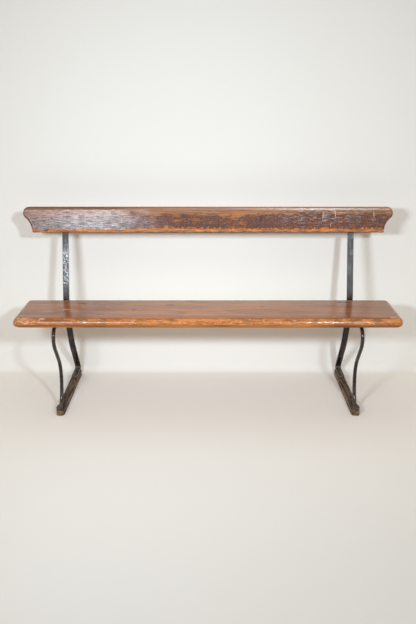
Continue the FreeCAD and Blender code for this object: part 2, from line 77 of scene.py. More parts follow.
# Shapes that the frame's boxes don't tell
SEAT_FRONT_CORNER = 0.034
SEAT_BACK_CORNER = 0.025
SEAT_TOP_ROUND = 0.023
SEAT_UNDER_ROUND = 0.014
BOARD_HEIGHT = 0.115
BOARD_THICKNESS = 0.025
BOARD_NOSE_ROUND = 0.029
BOARD_NOSE_TURN = math.radians(50)  # how far the nose runs below its widest point
BOARD_LAND = 0.005
BOARD_FRONT_ROUND = 0.008
BOARD_BACK_ROUND = 0.003
RAKE = math.radians(13)
RUNNER_FRONT_ROUND = 0.0155
RUNNER_BACK_ROUND = 0.013
RUNNER_TOP_ROUND = 0.0055
RUNNER_FOOT_ROUND = 0.001

# Flat bar of a back standard: corners of its centre line from the top end down, as depth and height
BAR_WIDTH = 0.027
BAR_THICKNESS = 0.010
BAR_EDGE_ROUND = 0.0012
BAR_CORNERS = ((0.1385, 0.8341), (0.0397, 0.4058), (0.1216, 0.2128), (0.2640, 0.0311), (0.1290, 0.0311))
BAR_BENDS = (0.220, 0.448, 0.013)
BAR_TOP_ROUND = 0.006
BAR_FLANGE_ROUND = 0.012
HEEL_SCREW_PLACES = (0.022, 0.072)  # from the flange's tip
SUNK_HEAD_RADIUS = 0.0061
SUNK_HEAD_DEPTH = 0.0045
SCREW_RADIUS = 0.0027
BORE_DEPTH = 0.020
BORE_OVERRUN = 0.004
BAR_SECTION_POINTS = 56

# Round bar of a front leg, flattened into a palm at each end
LEG_RADIUS = 0.008
LEG_BENDS = (0.040, 0.070, 0.144, 0.214, 0.032)
LEG_KNEE_HEIGHT = 0.3281  # sharp corners of the leg's centre line
LEG_CALF_HEIGHT = 0.1947
LEG_ANKLE_HEIGHT = 0.0915
LEG_CALF_DEPTH = -0.1365
LEG_TOE_DEPTH = -0.1669
LEG_TOE_TIP = -0.2300
TOP_PALM = {"length": 0.066, "width": 0.024, "thickness": 0.007}
TOE_PALM = {"length": 0.043, "width": 0.027, "thickness": 0.006}
PALM_SPREAD = 0.018  # round bar to full palm
PALM_EDGE_ROUND = 0.0012
TOE_SCREW_PLACE = 0.013  # from the palm's tip
LEG_SECTION_POINTS = 40

# Knots and old dents of the plank's top: place, half length along the grain and half width
SEAT_KNOTS = (
    (-0.555, -0.028, 0.026, 0.012),
    (-0.632, -0.104, 0.012, 0.009),
    (-0.456, -0.187, 0.020, 0.007),
    (-0.320, -0.113, 0.016, 0.007),
    (-0.167, -0.052, 0.030, 0.011),
    (-0.081, 0.012, 0.022, 0.008),
    (0.236, -0.081, 0.018, 0.006),
    (0.600, -0.010, 0.036, 0.012),
)
SEAT_SCUFFS = (
    (-0.612, -0.119, 0.024, 0.0055),
    (-0.448, -0.212, 0.008, 0.004),
    (0.529, -0.128, 0.007, 0.006),
    (0.566, -0.150, 0.006, 0.004),
    (0.528, -0.222, 0.009, 0.004),
    (-0.690, -0.247, 0.016, 0.004),
    (0.770, -0.236, 0.013, 0.006),
)
SEAT_RUBBED_ENDS = ((-0.768, -0.250, 0.050, 0.018), (0.786, -0.238, 0.030, 0.018))
# Marks of the back board: middle along the board and up it, half width, half height and lean from upright
BOARD_KNOTS = (
    (-0.722, 0.015, 0.015, 0.012, 0.30),
    (0.237, 0.062, 0.008, 0.017, 0.05),
)
BOARD_SCRATCHES = (
    (0.512, 0.074, 0.0017, 0.024, 0.06),
    (0.566, 0.084, 0.0021, 0.020, -0.10),
    (0.590, 0.047, 0.0015, 0.014, 1.50),
    (0.547, 0.036, 0.0015, 0.012, 0.22),
    (0.738, 0.080, 0.0019, 0.017, -0.08),
)
BOARD_CROWN = 0.0022  # how far the face falls back at its foot
SPOT_RIM = 1.1  # share of its half sizes where a spot or mark ends

# Hearts of the logs that the two boards were sawn from, as depth and height
SEAT_HEART = (-0.10, 0.29)
BOARD_HEART = (0.0, 0.60)

# Depths of wear, and the angle from which an edge is shaded sharp
HOLLOW_SHARE = 0.35  # of the edge wear, in the hollows on the seat
KNOT_DEPTH = 0.0005
BOARD_GRAIN_DEPTH = 0.0004
GROOVE_DEPTH = 0.0014
DISH_REACH = 0.62  # share of the hammer marks' distance that a dish spans
SHARP_ANGLE = math.radians(42)

# Heights on the iron where a finish starts and where it is whole
DUST_HEIGHTS = (0.055, 0.034)
ABOVE_SEAT = (0.43, 0.47)
BEATEN_FOOT = (0.46, 0.56)
BEATEN_TOP = (0.725, 0.60)

# Stage and camera
COVE_ROUND = 0.035
STAGE_REACH = 7.0
STAGE_HEIGHT = 4.5
CLOTH_SHADE = 0.74  # share of its colour that the floor keeps at the front
CLOTH_SHADE_DEPTHS = (-0.2, -1.7)
CLOTH_FADE = (2.3, 3.6)  # distances from the bench between which the backdrop fades out
CLOTH_FADE_CENTRE = (0.0, 0.0, 0.5)
SHOWN_WORLD = 0.9  # strength of the pale world that cameras and gloss see
LEFT_LAMP_PLACE = (-0.86, -2.42, 1.36)
RIGHT_LAMP_PLACE = (1.08, -3.40, 1.88)
LAMP_AIM = Vector((0, 0.1, 0.72))
LEFT_LAMP_SIZE = (0.44, 0.18)
RIGHT_LAMP_SIZE = (0.24, 0.24)
LAMP_SPREAD = math.radians(120)
CAMERA_LENS = 43.846
CAMERA_SENSOR = 36.0


def linear(hex_colour):
    """The linear red, green and blue of an sRGB hex colour."""
    channels = [int(hex_colour[start:start + 2], 16) / 255 for start in (1, 3, 5)]
    return tuple(c / 12.92 if c <= 0.04045 else ((c + 0.055) / 1.055) ** 2.4 for c in channels)


def colour(name, description, hex_colour):
    """Colour property of a surface, given as an sRGB hex value."""
    return FloatVectorProperty(
        name=name, description=description, subtype="COLOR", size=3, min=0, max=1, default=linear(hex_colour)
    )


def number(name, description, default, **kind):
    """Number property with its unit or subtype."""
    return FloatProperty(name=name, description=description, default=default, **kind)


def length(name, description, default):
    """Length property in metres."""
    return number(name, description, default, min=0, unit="LENGTH", precision=4)


class BenchSizes(bpy.types.PropertyGroup):
    """Sizes of the bench's surfaces that a user may change."""

    cell: length("Mesh cell", "Width of a mesh cell on the boards", 0.005)
    bar_cell: length("Bar cell", "Length of a mesh cell along the iron bars", 0.0035)
    ring_pitch: length("Ring pitch", "Width of a growth ring of the pine", 0.009)
    streak_width: length("Streak width", "Width of the finest grain streaks that are drawn", 0.006)
    craze_cell: length("Craze cell", "Size of the varnish's crazed cells", 0.0065)
    edge_wear: length("Edge wear", "Depth that use has worn off the boards' edges", 0.0016)
    hammer_mark: length("Hammer mark", "Distance between the hammer marks on the iron", 0.0095)
    hammer_depth: length("Hammer depth", "Depth of the hammer marks", 0.00016)


class BenchColours(bpy.types.PropertyGroup):
    """Colours of the bench's surfaces."""

    seat_brown: colour("Seat brown", "Old wax and stain on the seat", "#B5713C")
    seat_dark: colour("Seat dark grain", "Late wood and knots of the seat", "#5F3B26")
    worn_pine: colour("Worn pine", "Pine where hands and legs have worn the finish off", "#CC7C3A")
    bare_pine: colour("Bare pine", "Chips down to bare pine", "#E0B085")
    varnish_dark: colour("Dark varnish", "Crazed varnish of the back board", "#52271E")
    varnish_brown: colour("Brown varnish", "Thin varnish of the back board", "#8E5634")
    iron_black: colour("Iron black", "Black paint on the iron", "#18120F")
    iron_brown: colour("Iron brown", "Rust that shows through the paint", "#47342A")
    iron_dust: colour("Iron dust", "Dust on the iron near the floor", "#5E5147")
    runner_grey: colour("Runner grey brown", "Weathered wood of the runners", "#6C5A4B")
    runner_dark: colour("Runner dark", "Grain grooves of the runners", "#261C17")
    runner_edge: colour("Runner edge", "Rubbed edges of the runners", "#9A7654")
    screw_grey: colour("Screw grey", "Darkened steel of the screws", "#5E5A56")


class BenchStage(bpy.types.PropertyGroup):
    """Backdrop, lamps and camera."""

    cloth: colour("Backdrop", "Pale backdrop and floor", "#F5F2EB")
    lamp_white: colour("Lamp white", "Cool white of the lamps", "#E4F3FF")
    room_white: colour("Room white", "White of the room's light from above", "#FFEEDC")
    room_low: colour("Room low", "Warm white of the room's level light", "#FFCB98")
    wall_depth: length("Wall depth", "Depth of the backdrop behind the bench's middle", 0.30)
    left_lamp: number("Left lamp", "Power of the left lamp", 17.9, unit="POWER")
    right_lamp: number("Right lamp", "Power of the right lamp", 25.6, unit="POWER")
    daylight: number("Daylight", "Strength of the room's light from above", 0.64)
    low_share: number("Low light", "Share of the room's light that comes level", 0.15, subtype="FACTOR")
    camera_height: length("Camera height", "Height of the lens above the floor", 1.3888)
    camera_depth: number("Camera depth", "Depth of the lens", -3.2568, unit="LENGTH")
    camera_tilt: number("Camera tilt", "Angle below level", math.radians(16.92), subtype="ANGLE")


# Mesh tools
def arc(centre, radius, start, end, steps=24):
    """Points of a circle from one angle to another."""
    angles = np.linspace(start, end, steps)
    return np.column_stack((centre[0] + radius * np.cos(angles), centre[1] + radius * np.sin(angles)))


def travelled(points):
    """Length travelled along a line at each of its points."""
    steps = np.linalg.norm(np.diff(points, axis=0), axis=1)
    return np.concatenate(([0.0], np.cumsum(steps)))


def at_stations(points, stations):
    """Points of a line at the lengths given."""
    gone = travelled(points)
    return np.column_stack([np.interp(stations, gone, points[:, axis]) for axis in range(points.shape[1])])


def evenly(points, count):
    """A line's run in evenly spaced points."""
    return at_stations(points, np.linspace(0, travelled(points)[-1], count))


def bent_line(corners, bends, steps=40):
    """Straight runs joined by a tangent arc at each inner corner."""
    corners = [complex(*corner) for corner in corners]
    line = [corners[0]]
    for before, corner, after, bend in zip(corners, corners[1:], corners[2:], bends):
        into = (corner - before) / abs(corner - before)
        out = (after - corner) / abs(after - corner)
        turn = np.angle(out / into)
        start = corner - into * bend * math.tan(abs(turn) / 2)
        side = into * 1j * np.sign(turn)
        for angle in np.linspace(0, abs(turn), steps):
            line.append(start + bend * (into * math.sin(angle) + side * (1 - math.cos(angle))))
    line.append(corners[-1])
    return np.array([(point.real, point.imag) for point in line])


def inset(loop, distance):
    """Closed outline moved inward, its corners kept sharp."""
    ahead = np.roll(loop, -1, axis=0) - loop
    ahead /= np.linalg.norm(ahead, axis=1)[:, None]
    behind = np.roll(ahead, 1, axis=0)
    left_ahead = np.column_stack((-ahead[:, 1], ahead[:, 0]))
    left_behind = np.column_stack((-behind[:, 1], behind[:, 0]))
    middle = left_ahead + left_behind
    middle /= np.linalg.norm(middle, axis=1)[:, None]
    reach = distance / np.sum(middle * left_ahead, axis=1)
    return loop + middle * reach[:, None]


def patch(rim, across, up):
    """Grid of points that fills a closed rim: its four sides blended into each other."""
    corners = (0, across, across + up, 2 * across + up)
    closed = np.vstack((rim, rim[:1]))
    south = closed[:corners[1] + 1]
    east = closed[corners[1]:corners[2] + 1]
    north = closed[corners[2]:corners[3] + 1][::-1]
    west = closed[corners[3]:][::-1]
    s = np.linspace(0, 1, across + 1)[None, :, None]
    t = np.linspace(0, 1, up + 1)[:, None, None]
    sides = (1 - t) * south[None] + t * north[None] + (1 - s) * west[:, None] + s * east[:, None]
    ties = (1 - s) * (1 - t) * south[0] + s * (1 - t) * south[-1] + (1 - s) * t * north[0] + s * t * north[-1]
    return sides - ties


def edge_profile(thickness, face_round, back_round, cell):
    """Rings round a slab's edge, from its face to its back: inset, level, roundness and backness."""
    turns = [(1 - math.sin(turn), 1 - math.cos(turn)) for turn in np.linspace(0, math.pi / 2, 7)]
    face = [(face_round * inward, thickness - face_round * sunk, 1 - inward, 0) for inward, sunk in turns]
    side = [(0, level, 1, 0) for level in np.arange(thickness - face_round - cell, back_round, -cell)]
    back = [(back_round * inward, back_round * sunk, 1 - inward, 1) for inward, sunk in reversed(turns)]
    return face + side + back


def slab(sides, profile, place):
    """Closed slab: rings of the outline round its edge, and a blended grid on its face and back.

    The four sides run anticlockwise, each from where the last one ended. Besides points and faces it
    gives two values for each point: its roundness, from 0 on a flat to 1 on the edge, and 1 on the back.
    """
    across = len(sides[0]) - 1
    up = len(sides[1]) - 1
    loop = np.vstack([side[:-1] for side in sides])
    around = len(loop)
    points = []
    values = {"roundness": [], "back": []}

    def put(u, v, level, roundness, back):
        points.append(place(u, v, level))
        values["roundness"].append(roundness)
        values["back"].append(back)

    faces = []
    for ring, (distance, level, roundness, back) in enumerate(profile):
        for u, v in inset(loop, distance) if distance else loop:
            put(u, v, level, roundness, back)
        if ring:
            high = (ring - 1) * around
            for i in range(around):
                j = (i + 1) % around
                faces.append((high + i, high + around + i, high + around + j, high + j))
    for ring in (0, len(profile) - 1):
        distance, level, roundness, back = profile[ring]
        grid = patch(inset(loop, distance) if distance else loop, across, up)
        index = np.zeros((up + 1, across + 1), dtype=int)
        base = ring * around
        index[0] = base + np.arange(across + 1)
        index[:, across] = base + across + np.arange(up + 1)
        index[up] = base + (across + up + np.arange(across + 1))[::-1]
        index[1:, 0] = base + (2 * across + up + np.arange(up))[::-1]
        for row in range(1, up):
            for column in range(1, across):
                index[row, column] = len(points)
                put(*grid[row, column], level, 0, back)
        for row in range(up):
            for column in range(across):
                near = (index[row, column], index[row, column + 1])
                far = (index[row + 1, column + 1], index[row + 1, column])
                faces.append(near + far)
    return np.array(points), faces, values


def round_cornered(low, high, front_corner, back_corner, cell):
    """Four sides of a rectangle with rounded corners, anticlockwise from its front left corner."""
    eighth = math.pi / 4
    centres = (
        (low[0] + front_corner, low[1] + front_corner, front_corner, 5),
        (high[0] - front_corner, low[1] + front_corner, front_corner, 7),
        (high[0] - back_corner, high[1] - back_corner, back_corner, 1),
        (low[0] + back_corner, high[1] - back_corner, back_corner, 3),
    )
    across = max(4, round((high[0] - low[0]) / cell))
    up = max(4, round((high[1] - low[1]) / cell))
    sides = []
    for (x, y, radius, turn), (next_x, next_y, next_radius, next_turn), cells in zip(
        centres, centres[1:] + centres[:1], (across, up, across, up)
    ):
        leaving = arc((x, y), radius, turn * eighth, (turn + 1) * eighth)
        meeting = arc((next_x, next_y), next_radius, (next_turn - 1) * eighth, next_turn * eighth)
        sides.append(evenly(np.vstack((leaving, meeting)), cells + 1))
    return sides


def bar_section(half_width, half_thickness, corner, count):
    """Rounded rectangle in evenly spaced points, from the middle of its right side."""
    corner = min(corner, half_width, half_thickness)
    centre_x = half_width - corner
    centre_y = half_thickness - corner
    quarter = math.pi / 2
    runs = [np.array([(half_width, 0)])]
    for turn, (x, y) in enumerate(((1, 1), (-1, 1), (-1, -1), (1, -1))):
        runs.append(arc((x * centre_x, y * centre_y), corner, turn * quarter, (turn + 1) * quarter, 8))
    runs.append(np.array([(half_width, 0)]))
    return evenly(np.vstack(runs), count + 1)[:-1]


def forge(line, x, stations, section_at, count):
    """Bar swept along a bent line in the plane at x, with a section of its own at each station."""
    nudge = 0.0005  # half the length over which the line's heading is taken
    places = at_stations(line, stations)
    ahead = at_stations(line, np.minimum(stations + nudge, travelled(line)[-1]))
    behind = at_stations(line, np.maximum(stations - nudge, 0))
    headings = ahead - behind
    headings /= np.linalg.norm(headings, axis=1)[:, None]
    points = []
    for station, place, heading in zip(stations, places, headings):
        for across, out in section_at(station):
            points.append((x + across, place[0] - heading[1] * out, place[1] + heading[0] * out))
    faces = []
    for ring in range(len(stations) - 1):
        for i in range(count):
            j = (i + 1) % count
            low = ring * count
            faces.append((low + i, low + j, low + count + j, low + count + i))
    faces.append(tuple(range(count))[::-1])
    faces.append(tuple(range(len(points) - count, len(points))))
    return np.array(points), faces


def narrowing(distance, rounding):
    """How much a bar is narrower on each side, at a distance from its end that is rounded off."""
    if distance >= rounding:
        return 0.0
    return rounding - math.sqrt(rounding ** 2 - (rounding - distance) ** 2)


def bar_stations(total, start_round, end_round, cell):
    """Stations along a bar, close together where its ends are rounded off."""
    turns = np.linspace(0, math.pi / 2, 9)
    start = start_round * (1 - np.cos(turns))
    end = total - end_round * (1 - np.cos(turns[::-1]))
    edge_steps = BAR_EDGE_ROUND * (1 - np.cos(turns[:5]))
    middle = np.arange(start_round + cell, total - end_round - cell / 2, cell)
    return np.unique(np.concatenate((edge_steps, start, middle, end, total - edge_steps)))


def in_scene(name, data):
    """New object of the scene."""
    made = bpy.data.objects.new(name, data)
    bpy.context.scene.collection.objects.link(made)
    return made


def new_piece(name, points, faces, material, values=None):
    """Mesh piece that stands for the CAD node of its name and rides with the bench."""
    mesh = bpy.data.meshes.new(name + "_dressed")
    mesh.from_pydata(points.tolist(), [], faces)
    for key, numbers in (values or {}).items():
        attribute = mesh.attributes.new(key, "FLOAT", "POINT")
        attribute.data.foreach_set("value", np.asarray(numbers, dtype=np.float32))
    shell = bmesh.new()
    shell.from_mesh(mesh)
    bmesh.ops.recalc_face_normals(shell, faces=shell.faces)
    shell.to_mesh(mesh)
    shell.free()
    mesh.materials.append(material)
    piece = in_scene(name + "_dressed", mesh)
    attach(piece, BODY)
    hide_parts(name)
    return piece


def wear(piece, depth_at):
    """Sinks every point of a piece into its surface by the depth worked out for its place."""
    vertices = piece.data.vertices
    normals = [vertex.normal.copy() for vertex in vertices]
    for vertex, normal in zip(vertices, normals):
        vertex.co -= normal * max(0.0, depth_at(vertex.co, normal))
    piece.data.shade_smooth()
    piece.data.set_sharp_from_angle(angle=SHARP_ANGLE)


def ripple(point, size_x, size_y, size_z, seed):
    """Smooth noise from 0 to 1 with its own grain size along each axis."""
    place = Vector((point.x / size_x, point.y / size_y, point.z / size_z + seed))
    return min(1.0, max(0.0, 0.5 + 0.5 * noise.fractal(place, 1.0, 2.0, 3)))


def bore(piece, place, material):
    """Countersunk hole for a screw that is let into the metal."""
    cutter = bmesh.new()
    for low_radius, high_radius, bottom, top in (
        (SCREW_RADIUS, SCREW_RADIUS, -BORE_DEPTH, 0),
        (SCREW_RADIUS, SUNK_HEAD_RADIUS, -SUNK_HEAD_DEPTH, 0),
        (SUNK_HEAD_RADIUS, SUNK_HEAD_RADIUS, 0, BORE_OVERRUN),
    ):
        bmesh.ops.create_cone(
            cutter, cap_ends=True, segments=32, radius1=low_radius, radius2=high_radius, depth=top - bottom,
            matrix=Matrix.Translation(place + Vector((0, 0, (bottom + top) / 2))),
        )
    mesh = bpy.data.meshes.new("cutter")
    cutter.to_mesh(mesh)
    cutter.free()
    mesh.materials.append(material)
    tool = in_scene("cutter", mesh)
    cut = piece.modifiers.new("bore", "BOOLEAN")
    cut.object = tool
    cut.operation = "DIFFERENCE"
    cut.solver = "EXACT"
    cut.use_self = True
    graph = bpy.context.evaluated_depsgraph_get()
    bored = bpy.data.meshes.new_from_object(piece.evaluated_get(graph))
    piece.modifiers.remove(cut)
    old = piece.data
    piece.data = bored
    bpy.data.meshes.remove(old)
    bpy.data.objects.remove(tool)
    bpy.data.meshes.remove(mesh)


# Material tools
DATA_TYPES = {"Color": "RGBA", "Float": "FLOAT"}
LENGTH = {"operation": "LENGTH", "out": "Value"}


def find_socket(sockets, key):
    """Socket by its place in the list, its identifier or its name."""
    if isinstance(key, int):
        return sockets[key]
    return next(socket for socket in sockets if key in (socket.identifier, socket.name))


def add(tree, kind, inputs=None, out=0, **settings):
    """Adds a node, sets or links its inputs, and returns one of its outputs."""
    node = tree.nodes.new(kind)
    for key, value in settings.items():
        setattr(node, key, value)
    for key, value in (inputs or {}).items():
        socket = find_socket(node.inputs, key)
        if isinstance(value, bpy.types.NodeSocket):
            tree.links.new(value, socket)
        else:
            socket.default_value = value
    return None if out is None else find_socket(node.outputs, out)


def start_material(name):
    """Empty material with its node tree and the frame's coordinates in metres."""
    material = bpy.data.materials.new(name)
    material.use_nodes = True
    tree = material.node_tree
    tree.nodes.clear()
    place = add(tree, "ShaderNodeTexCoord", out="Object")
    return material, tree, place


def finish_material(tree, inputs):
    """Ends a material in one principled shader."""
    shader = add(tree, "ShaderNodeBsdfPrincipled", inputs)
    add(tree, "ShaderNodeOutputMaterial", {"Surface": shader}, out=None)


def rgba(rgb, share=1.0):
    """Colour of a socket, darkened or lightened by a share."""
    return (rgb[0] * share, rgb[1] * share, rgb[2] * share, 1.0)


def grain(tree, place, stretch, detail=4.0, roughness=0.62, distortion=0.0):
    """Noise from 0 to 1. Along each axis, stretch is how many of its grains fill a metre."""
    sized = add(tree, "ShaderNodeVectorMath", {0: place, 1: stretch}, operation="MULTIPLY")
    return add(tree, "ShaderNodeTexNoise", {
        "Vector": sized, "Scale": 1.0, "Detail": detail, "Roughness": roughness, "Distortion": distortion,
    })


def blend(tree, share, first, second, kind="Color"):
    """Colour between two others, or a plain value where kind is Float."""
    ends = {"Factor_Float": share, "A_" + kind: first, "B_" + kind: second}
    return add(tree, "ShaderNodeMix", ends, out="Result_" + kind, data_type=DATA_TYPES[kind])


def layered(tree, colour, *layers):
    """A colour with others laid over it in turn, each given as its share and its colour."""
    for share, over in layers:
        colour = blend(tree, share, colour, over)
    return colour


def spread(tree, value, start, end, low=0.0, high=1.0, ease="SMOOTHSTEP"):
    """A value moved from one range to another, eased towards the ends unless ease is LINEAR."""
    limits = {"Value": value, "From Min": start, "From Max": end, "To Min": low, "To Max": high}
    return add(tree, "ShaderNodeMapRange", limits, interpolation_type=ease)


def sums(tree, operation, first, *others):
    """One sum, product, or other arithmetic over several values."""
    for other in others:
        first = add(tree, "ShaderNodeMath", {0: first, 1: other}, operation=operation)
    return first


def growth_rings(tree, place, pitch, heart):
    """Dark late wood of sawn pine, from 0 to 1, in rings round a heart that runs along X."""
    wander = add(tree, "ShaderNodeVectorMath", {0: place, 1: (1.3, 4.0, 4.0)}, operation="MULTIPLY")
    wobble = add(tree, "ShaderNodeTexNoise", {"Vector": wander, "Scale": 1.0, "Detail": 2.0}, out="Color")
    bend = add(tree, "ShaderNodeVectorMath", {0: wobble, 1: (0.0, 0.09, 0.09)}, operation="MULTIPLY")
    flat = add(tree, "ShaderNodeVectorMath", {0: place, 1: (0.0, 1.0, 1.0)}, operation="MULTIPLY")
    moved = add(tree, "ShaderNodeVectorMath", {0: flat, 1: (0.0, *heart)}, operation="SUBTRACT")
    bent = add(tree, "ShaderNodeVectorMath", {0: moved, 1: bend}, operation="ADD")
    radius = add(tree, "ShaderNodeVectorMath", {0: bent}, **LENGTH)
    count = sums(tree, "DIVIDE", radius, pitch)
    within = add(tree, "ShaderNodeMath", {0: count}, operation="FRACT")
    return sums(tree, "MULTIPLY", spread(tree, within, 0.2, 0.85), spread(tree, within, 1.0, 0.88))


def spots(tree, place, marks, ragged, fray, core):
    """Mask of soft spots: each a middle, two half sizes and, where it leans, an angle.

    A spot is 1 inside its core, a share of its half sizes. Its rim strays by the ragged noise, by as
    much as fray to either side.
    """
    stray = spread(tree, ragged, 0.0, 1.0, -fray, fray, "LINEAR")
    total = None
    for x, y, half_x, half_y, *lean in marks:
        way = add(tree, "ShaderNodeVectorMath", {0: place, 1: (x, y, 0)}, operation="SUBTRACT")
        if lean:
            turn = {"Vector": way, "Angle": lean[0]}
            way = add(tree, "ShaderNodeVectorRotate", turn, rotation_type="Z_AXIS")
        scale = (1 / half_x, 1 / half_y, 0)
        sized = add(tree, "ShaderNodeVectorMath", {0: way, 1: scale}, operation="MULTIPLY")
        away = add(tree, "ShaderNodeVectorMath", {0: sized}, **LENGTH)
        spot = spread(tree, sums(tree, "ADD", away, stray), SPOT_RIM, core)
        total = spot if total is None else sums(tree, "MAXIMUM", total, spot)
    return total


def waxed_pine(sizes, colours):
    """Pine plank, planed, stained and waxed, then polished by sitting.

    It gives the eye a mid brown with lengthwise streaks and a satin sheen, paler in the middle from wear and
    a painted sheen, amber wood where the round edges are rubbed, remains of dark stain on them, and pale
    chips down to bare pine.
    The plank is seen at a low angle, so its streaks are drawn about three times as wide as real grain.
    """
    material, tree, place = start_material("Waxed and stained pine")
    roundness = add(tree, "ShaderNodeAttribute", attribute_name="roundness", out="Fac")
    under = add(tree, "ShaderNodeAttribute", attribute_name="back", out="Fac")
    along = add(tree, "ShaderNodeSeparateXYZ", {0: place}, out="X")
    drawn = 1 / sizes.streak_width
    rings = growth_rings(tree, place, sizes.ring_pitch, SEAT_HEART)
    # Broad and fine streaks, clouds of 310 by 110 mm, patches of 53 by 15, chips and ragged rims of 12 by 6
    broad = grain(tree, place, (drawn / 80, drawn / 5, drawn / 5), roughness=0.7)
    fine = grain(tree, place, (drawn / 14, drawn, drawn), detail=3.0)
    cloud = grain(tree, place, (3.2, 9.0, 9.0), detail=5.0, roughness=0.65)
    patchy = grain(tree, place, (19.0, 66.0, 66.0), roughness=0.65)
    chippy = grain(tree, place, (85.0, 170.0, 170.0), detail=3.0, roughness=0.7)
    ragged = grain(tree, place, (90.0, 160.0, 160.0), detail=2.0)

    dark = colours.seat_dark
    # Paler in the middle: partly wear where people sit, partly a painted sheen of the brighter wall behind
    # the seat's middle
    sat_on_and_sheen = spread(tree, sums(tree, "ABSOLUTE", along, 0.0), 0.72, 0.16)
    streaky = spread(tree, broad, 0.3, 0.7)
    knots = spots(tree, place, SEAT_KNOTS, ragged, 0.6, 0.35)
    # Streaks, rings, flecks, dark clouds, rubbed places and knots lie over each other in this order
    flat = layered(
        tree, blend(tree, sat_on_and_sheen, rgba(colours.seat_brown, 0.98), rgba(colours.seat_brown, 1.37)),
        (sums(tree, "MULTIPLY", streaky, 0.5), rgba(dark)),
        (sums(tree, "MULTIPLY", rings, 0.35), rgba(dark)),
        (spread(tree, fine, 0.42, 0.75, 0.0, 0.5), rgba(dark, 0.8)),
        (spread(tree, cloud, 0.5, 0.72, 0.0, 0.55), rgba(dark, 1.15)),
        (spread(tree, cloud, 0.48, 0.28, 0.0, 0.45), rgba(colours.worn_pine, 0.8)),
        (sums(tree, "MULTIPLY", knots, 0.9), rgba(dark, 0.2)),
    )

    amber = blend(tree, streaky, rgba(colours.worn_pine, 1.22), rgba(colours.worn_pine, 0.74))
    stain_start = spread(tree, along, -0.35, -0.65, 0.47, 0.42)
    stain = spread(tree, patchy, stain_start, sums(tree, "ADD", stain_start, 0.12), 0.0, 0.85)
    worn_wood = blend(tree, stain, amber, rgba(colours.worn_pine, 0.40))
    stray = spread(tree, patchy, 0.0, 1.0, -0.3, 0.3, "LINEAR")
    worn = spread(tree, sums(tree, "ADD", roundness, stray), 0.22, 0.50)
    chips = spread(tree, sums(tree, "MULTIPLY", worn, chippy), 0.56, 0.66)
    scuffs = spots(tree, place, SEAT_SCUFFS, ragged, 0.5, 0.35)
    ends = spots(tree, place, SEAT_RUBBED_ENDS, ragged, 0.8, 0.35)
    streaked = sums(tree, "MULTIPLY", ends, spread(tree, chippy, 0.42, 0.58, 0.0, 0.8))
    bare = sums(tree, "MAXIMUM", sums(tree, "MULTIPLY", chips, 0.85), scuffs, streaked)
    underside = blend(tree, streaky, amber, rgba(dark, 1.3))
    whole = layered(tree, flat, (worn, worn_wood), (bare, rgba(colours.bare_pine)), (under, underside))

    sheen = spread(tree, cloud, 0.3, 0.7, 0.15, 0.28)
    edge_sheen = spread(tree, patchy, 0.4, 0.62, 0.13, 0.32)
    waxy = blend(tree, worn, sheen, edge_sheen, "Float")
    dry = sums(tree, "MAXIMUM", bare, under)
    roughness = blend(tree, dry, waxy, 0.7, "Float")
    low = add(tree, "ShaderNodeBump", {"Strength": 1.0, "Distance": 0.0012, "Height": broad})
    middle = add(tree, "ShaderNodeBump", {"Strength": 1.0, "Distance": 0.0003, "Height": fine, "Normal": low})
    high = add(tree, "ShaderNodeBump", {
        "Strength": 0.6, "Distance": 0.0012, "Height": patchy, "Normal": middle,
    })
    finish_material(tree, {"Base Color": whole, "Roughness": roughness, "Normal": high, "IOR": 1.44})
    return material


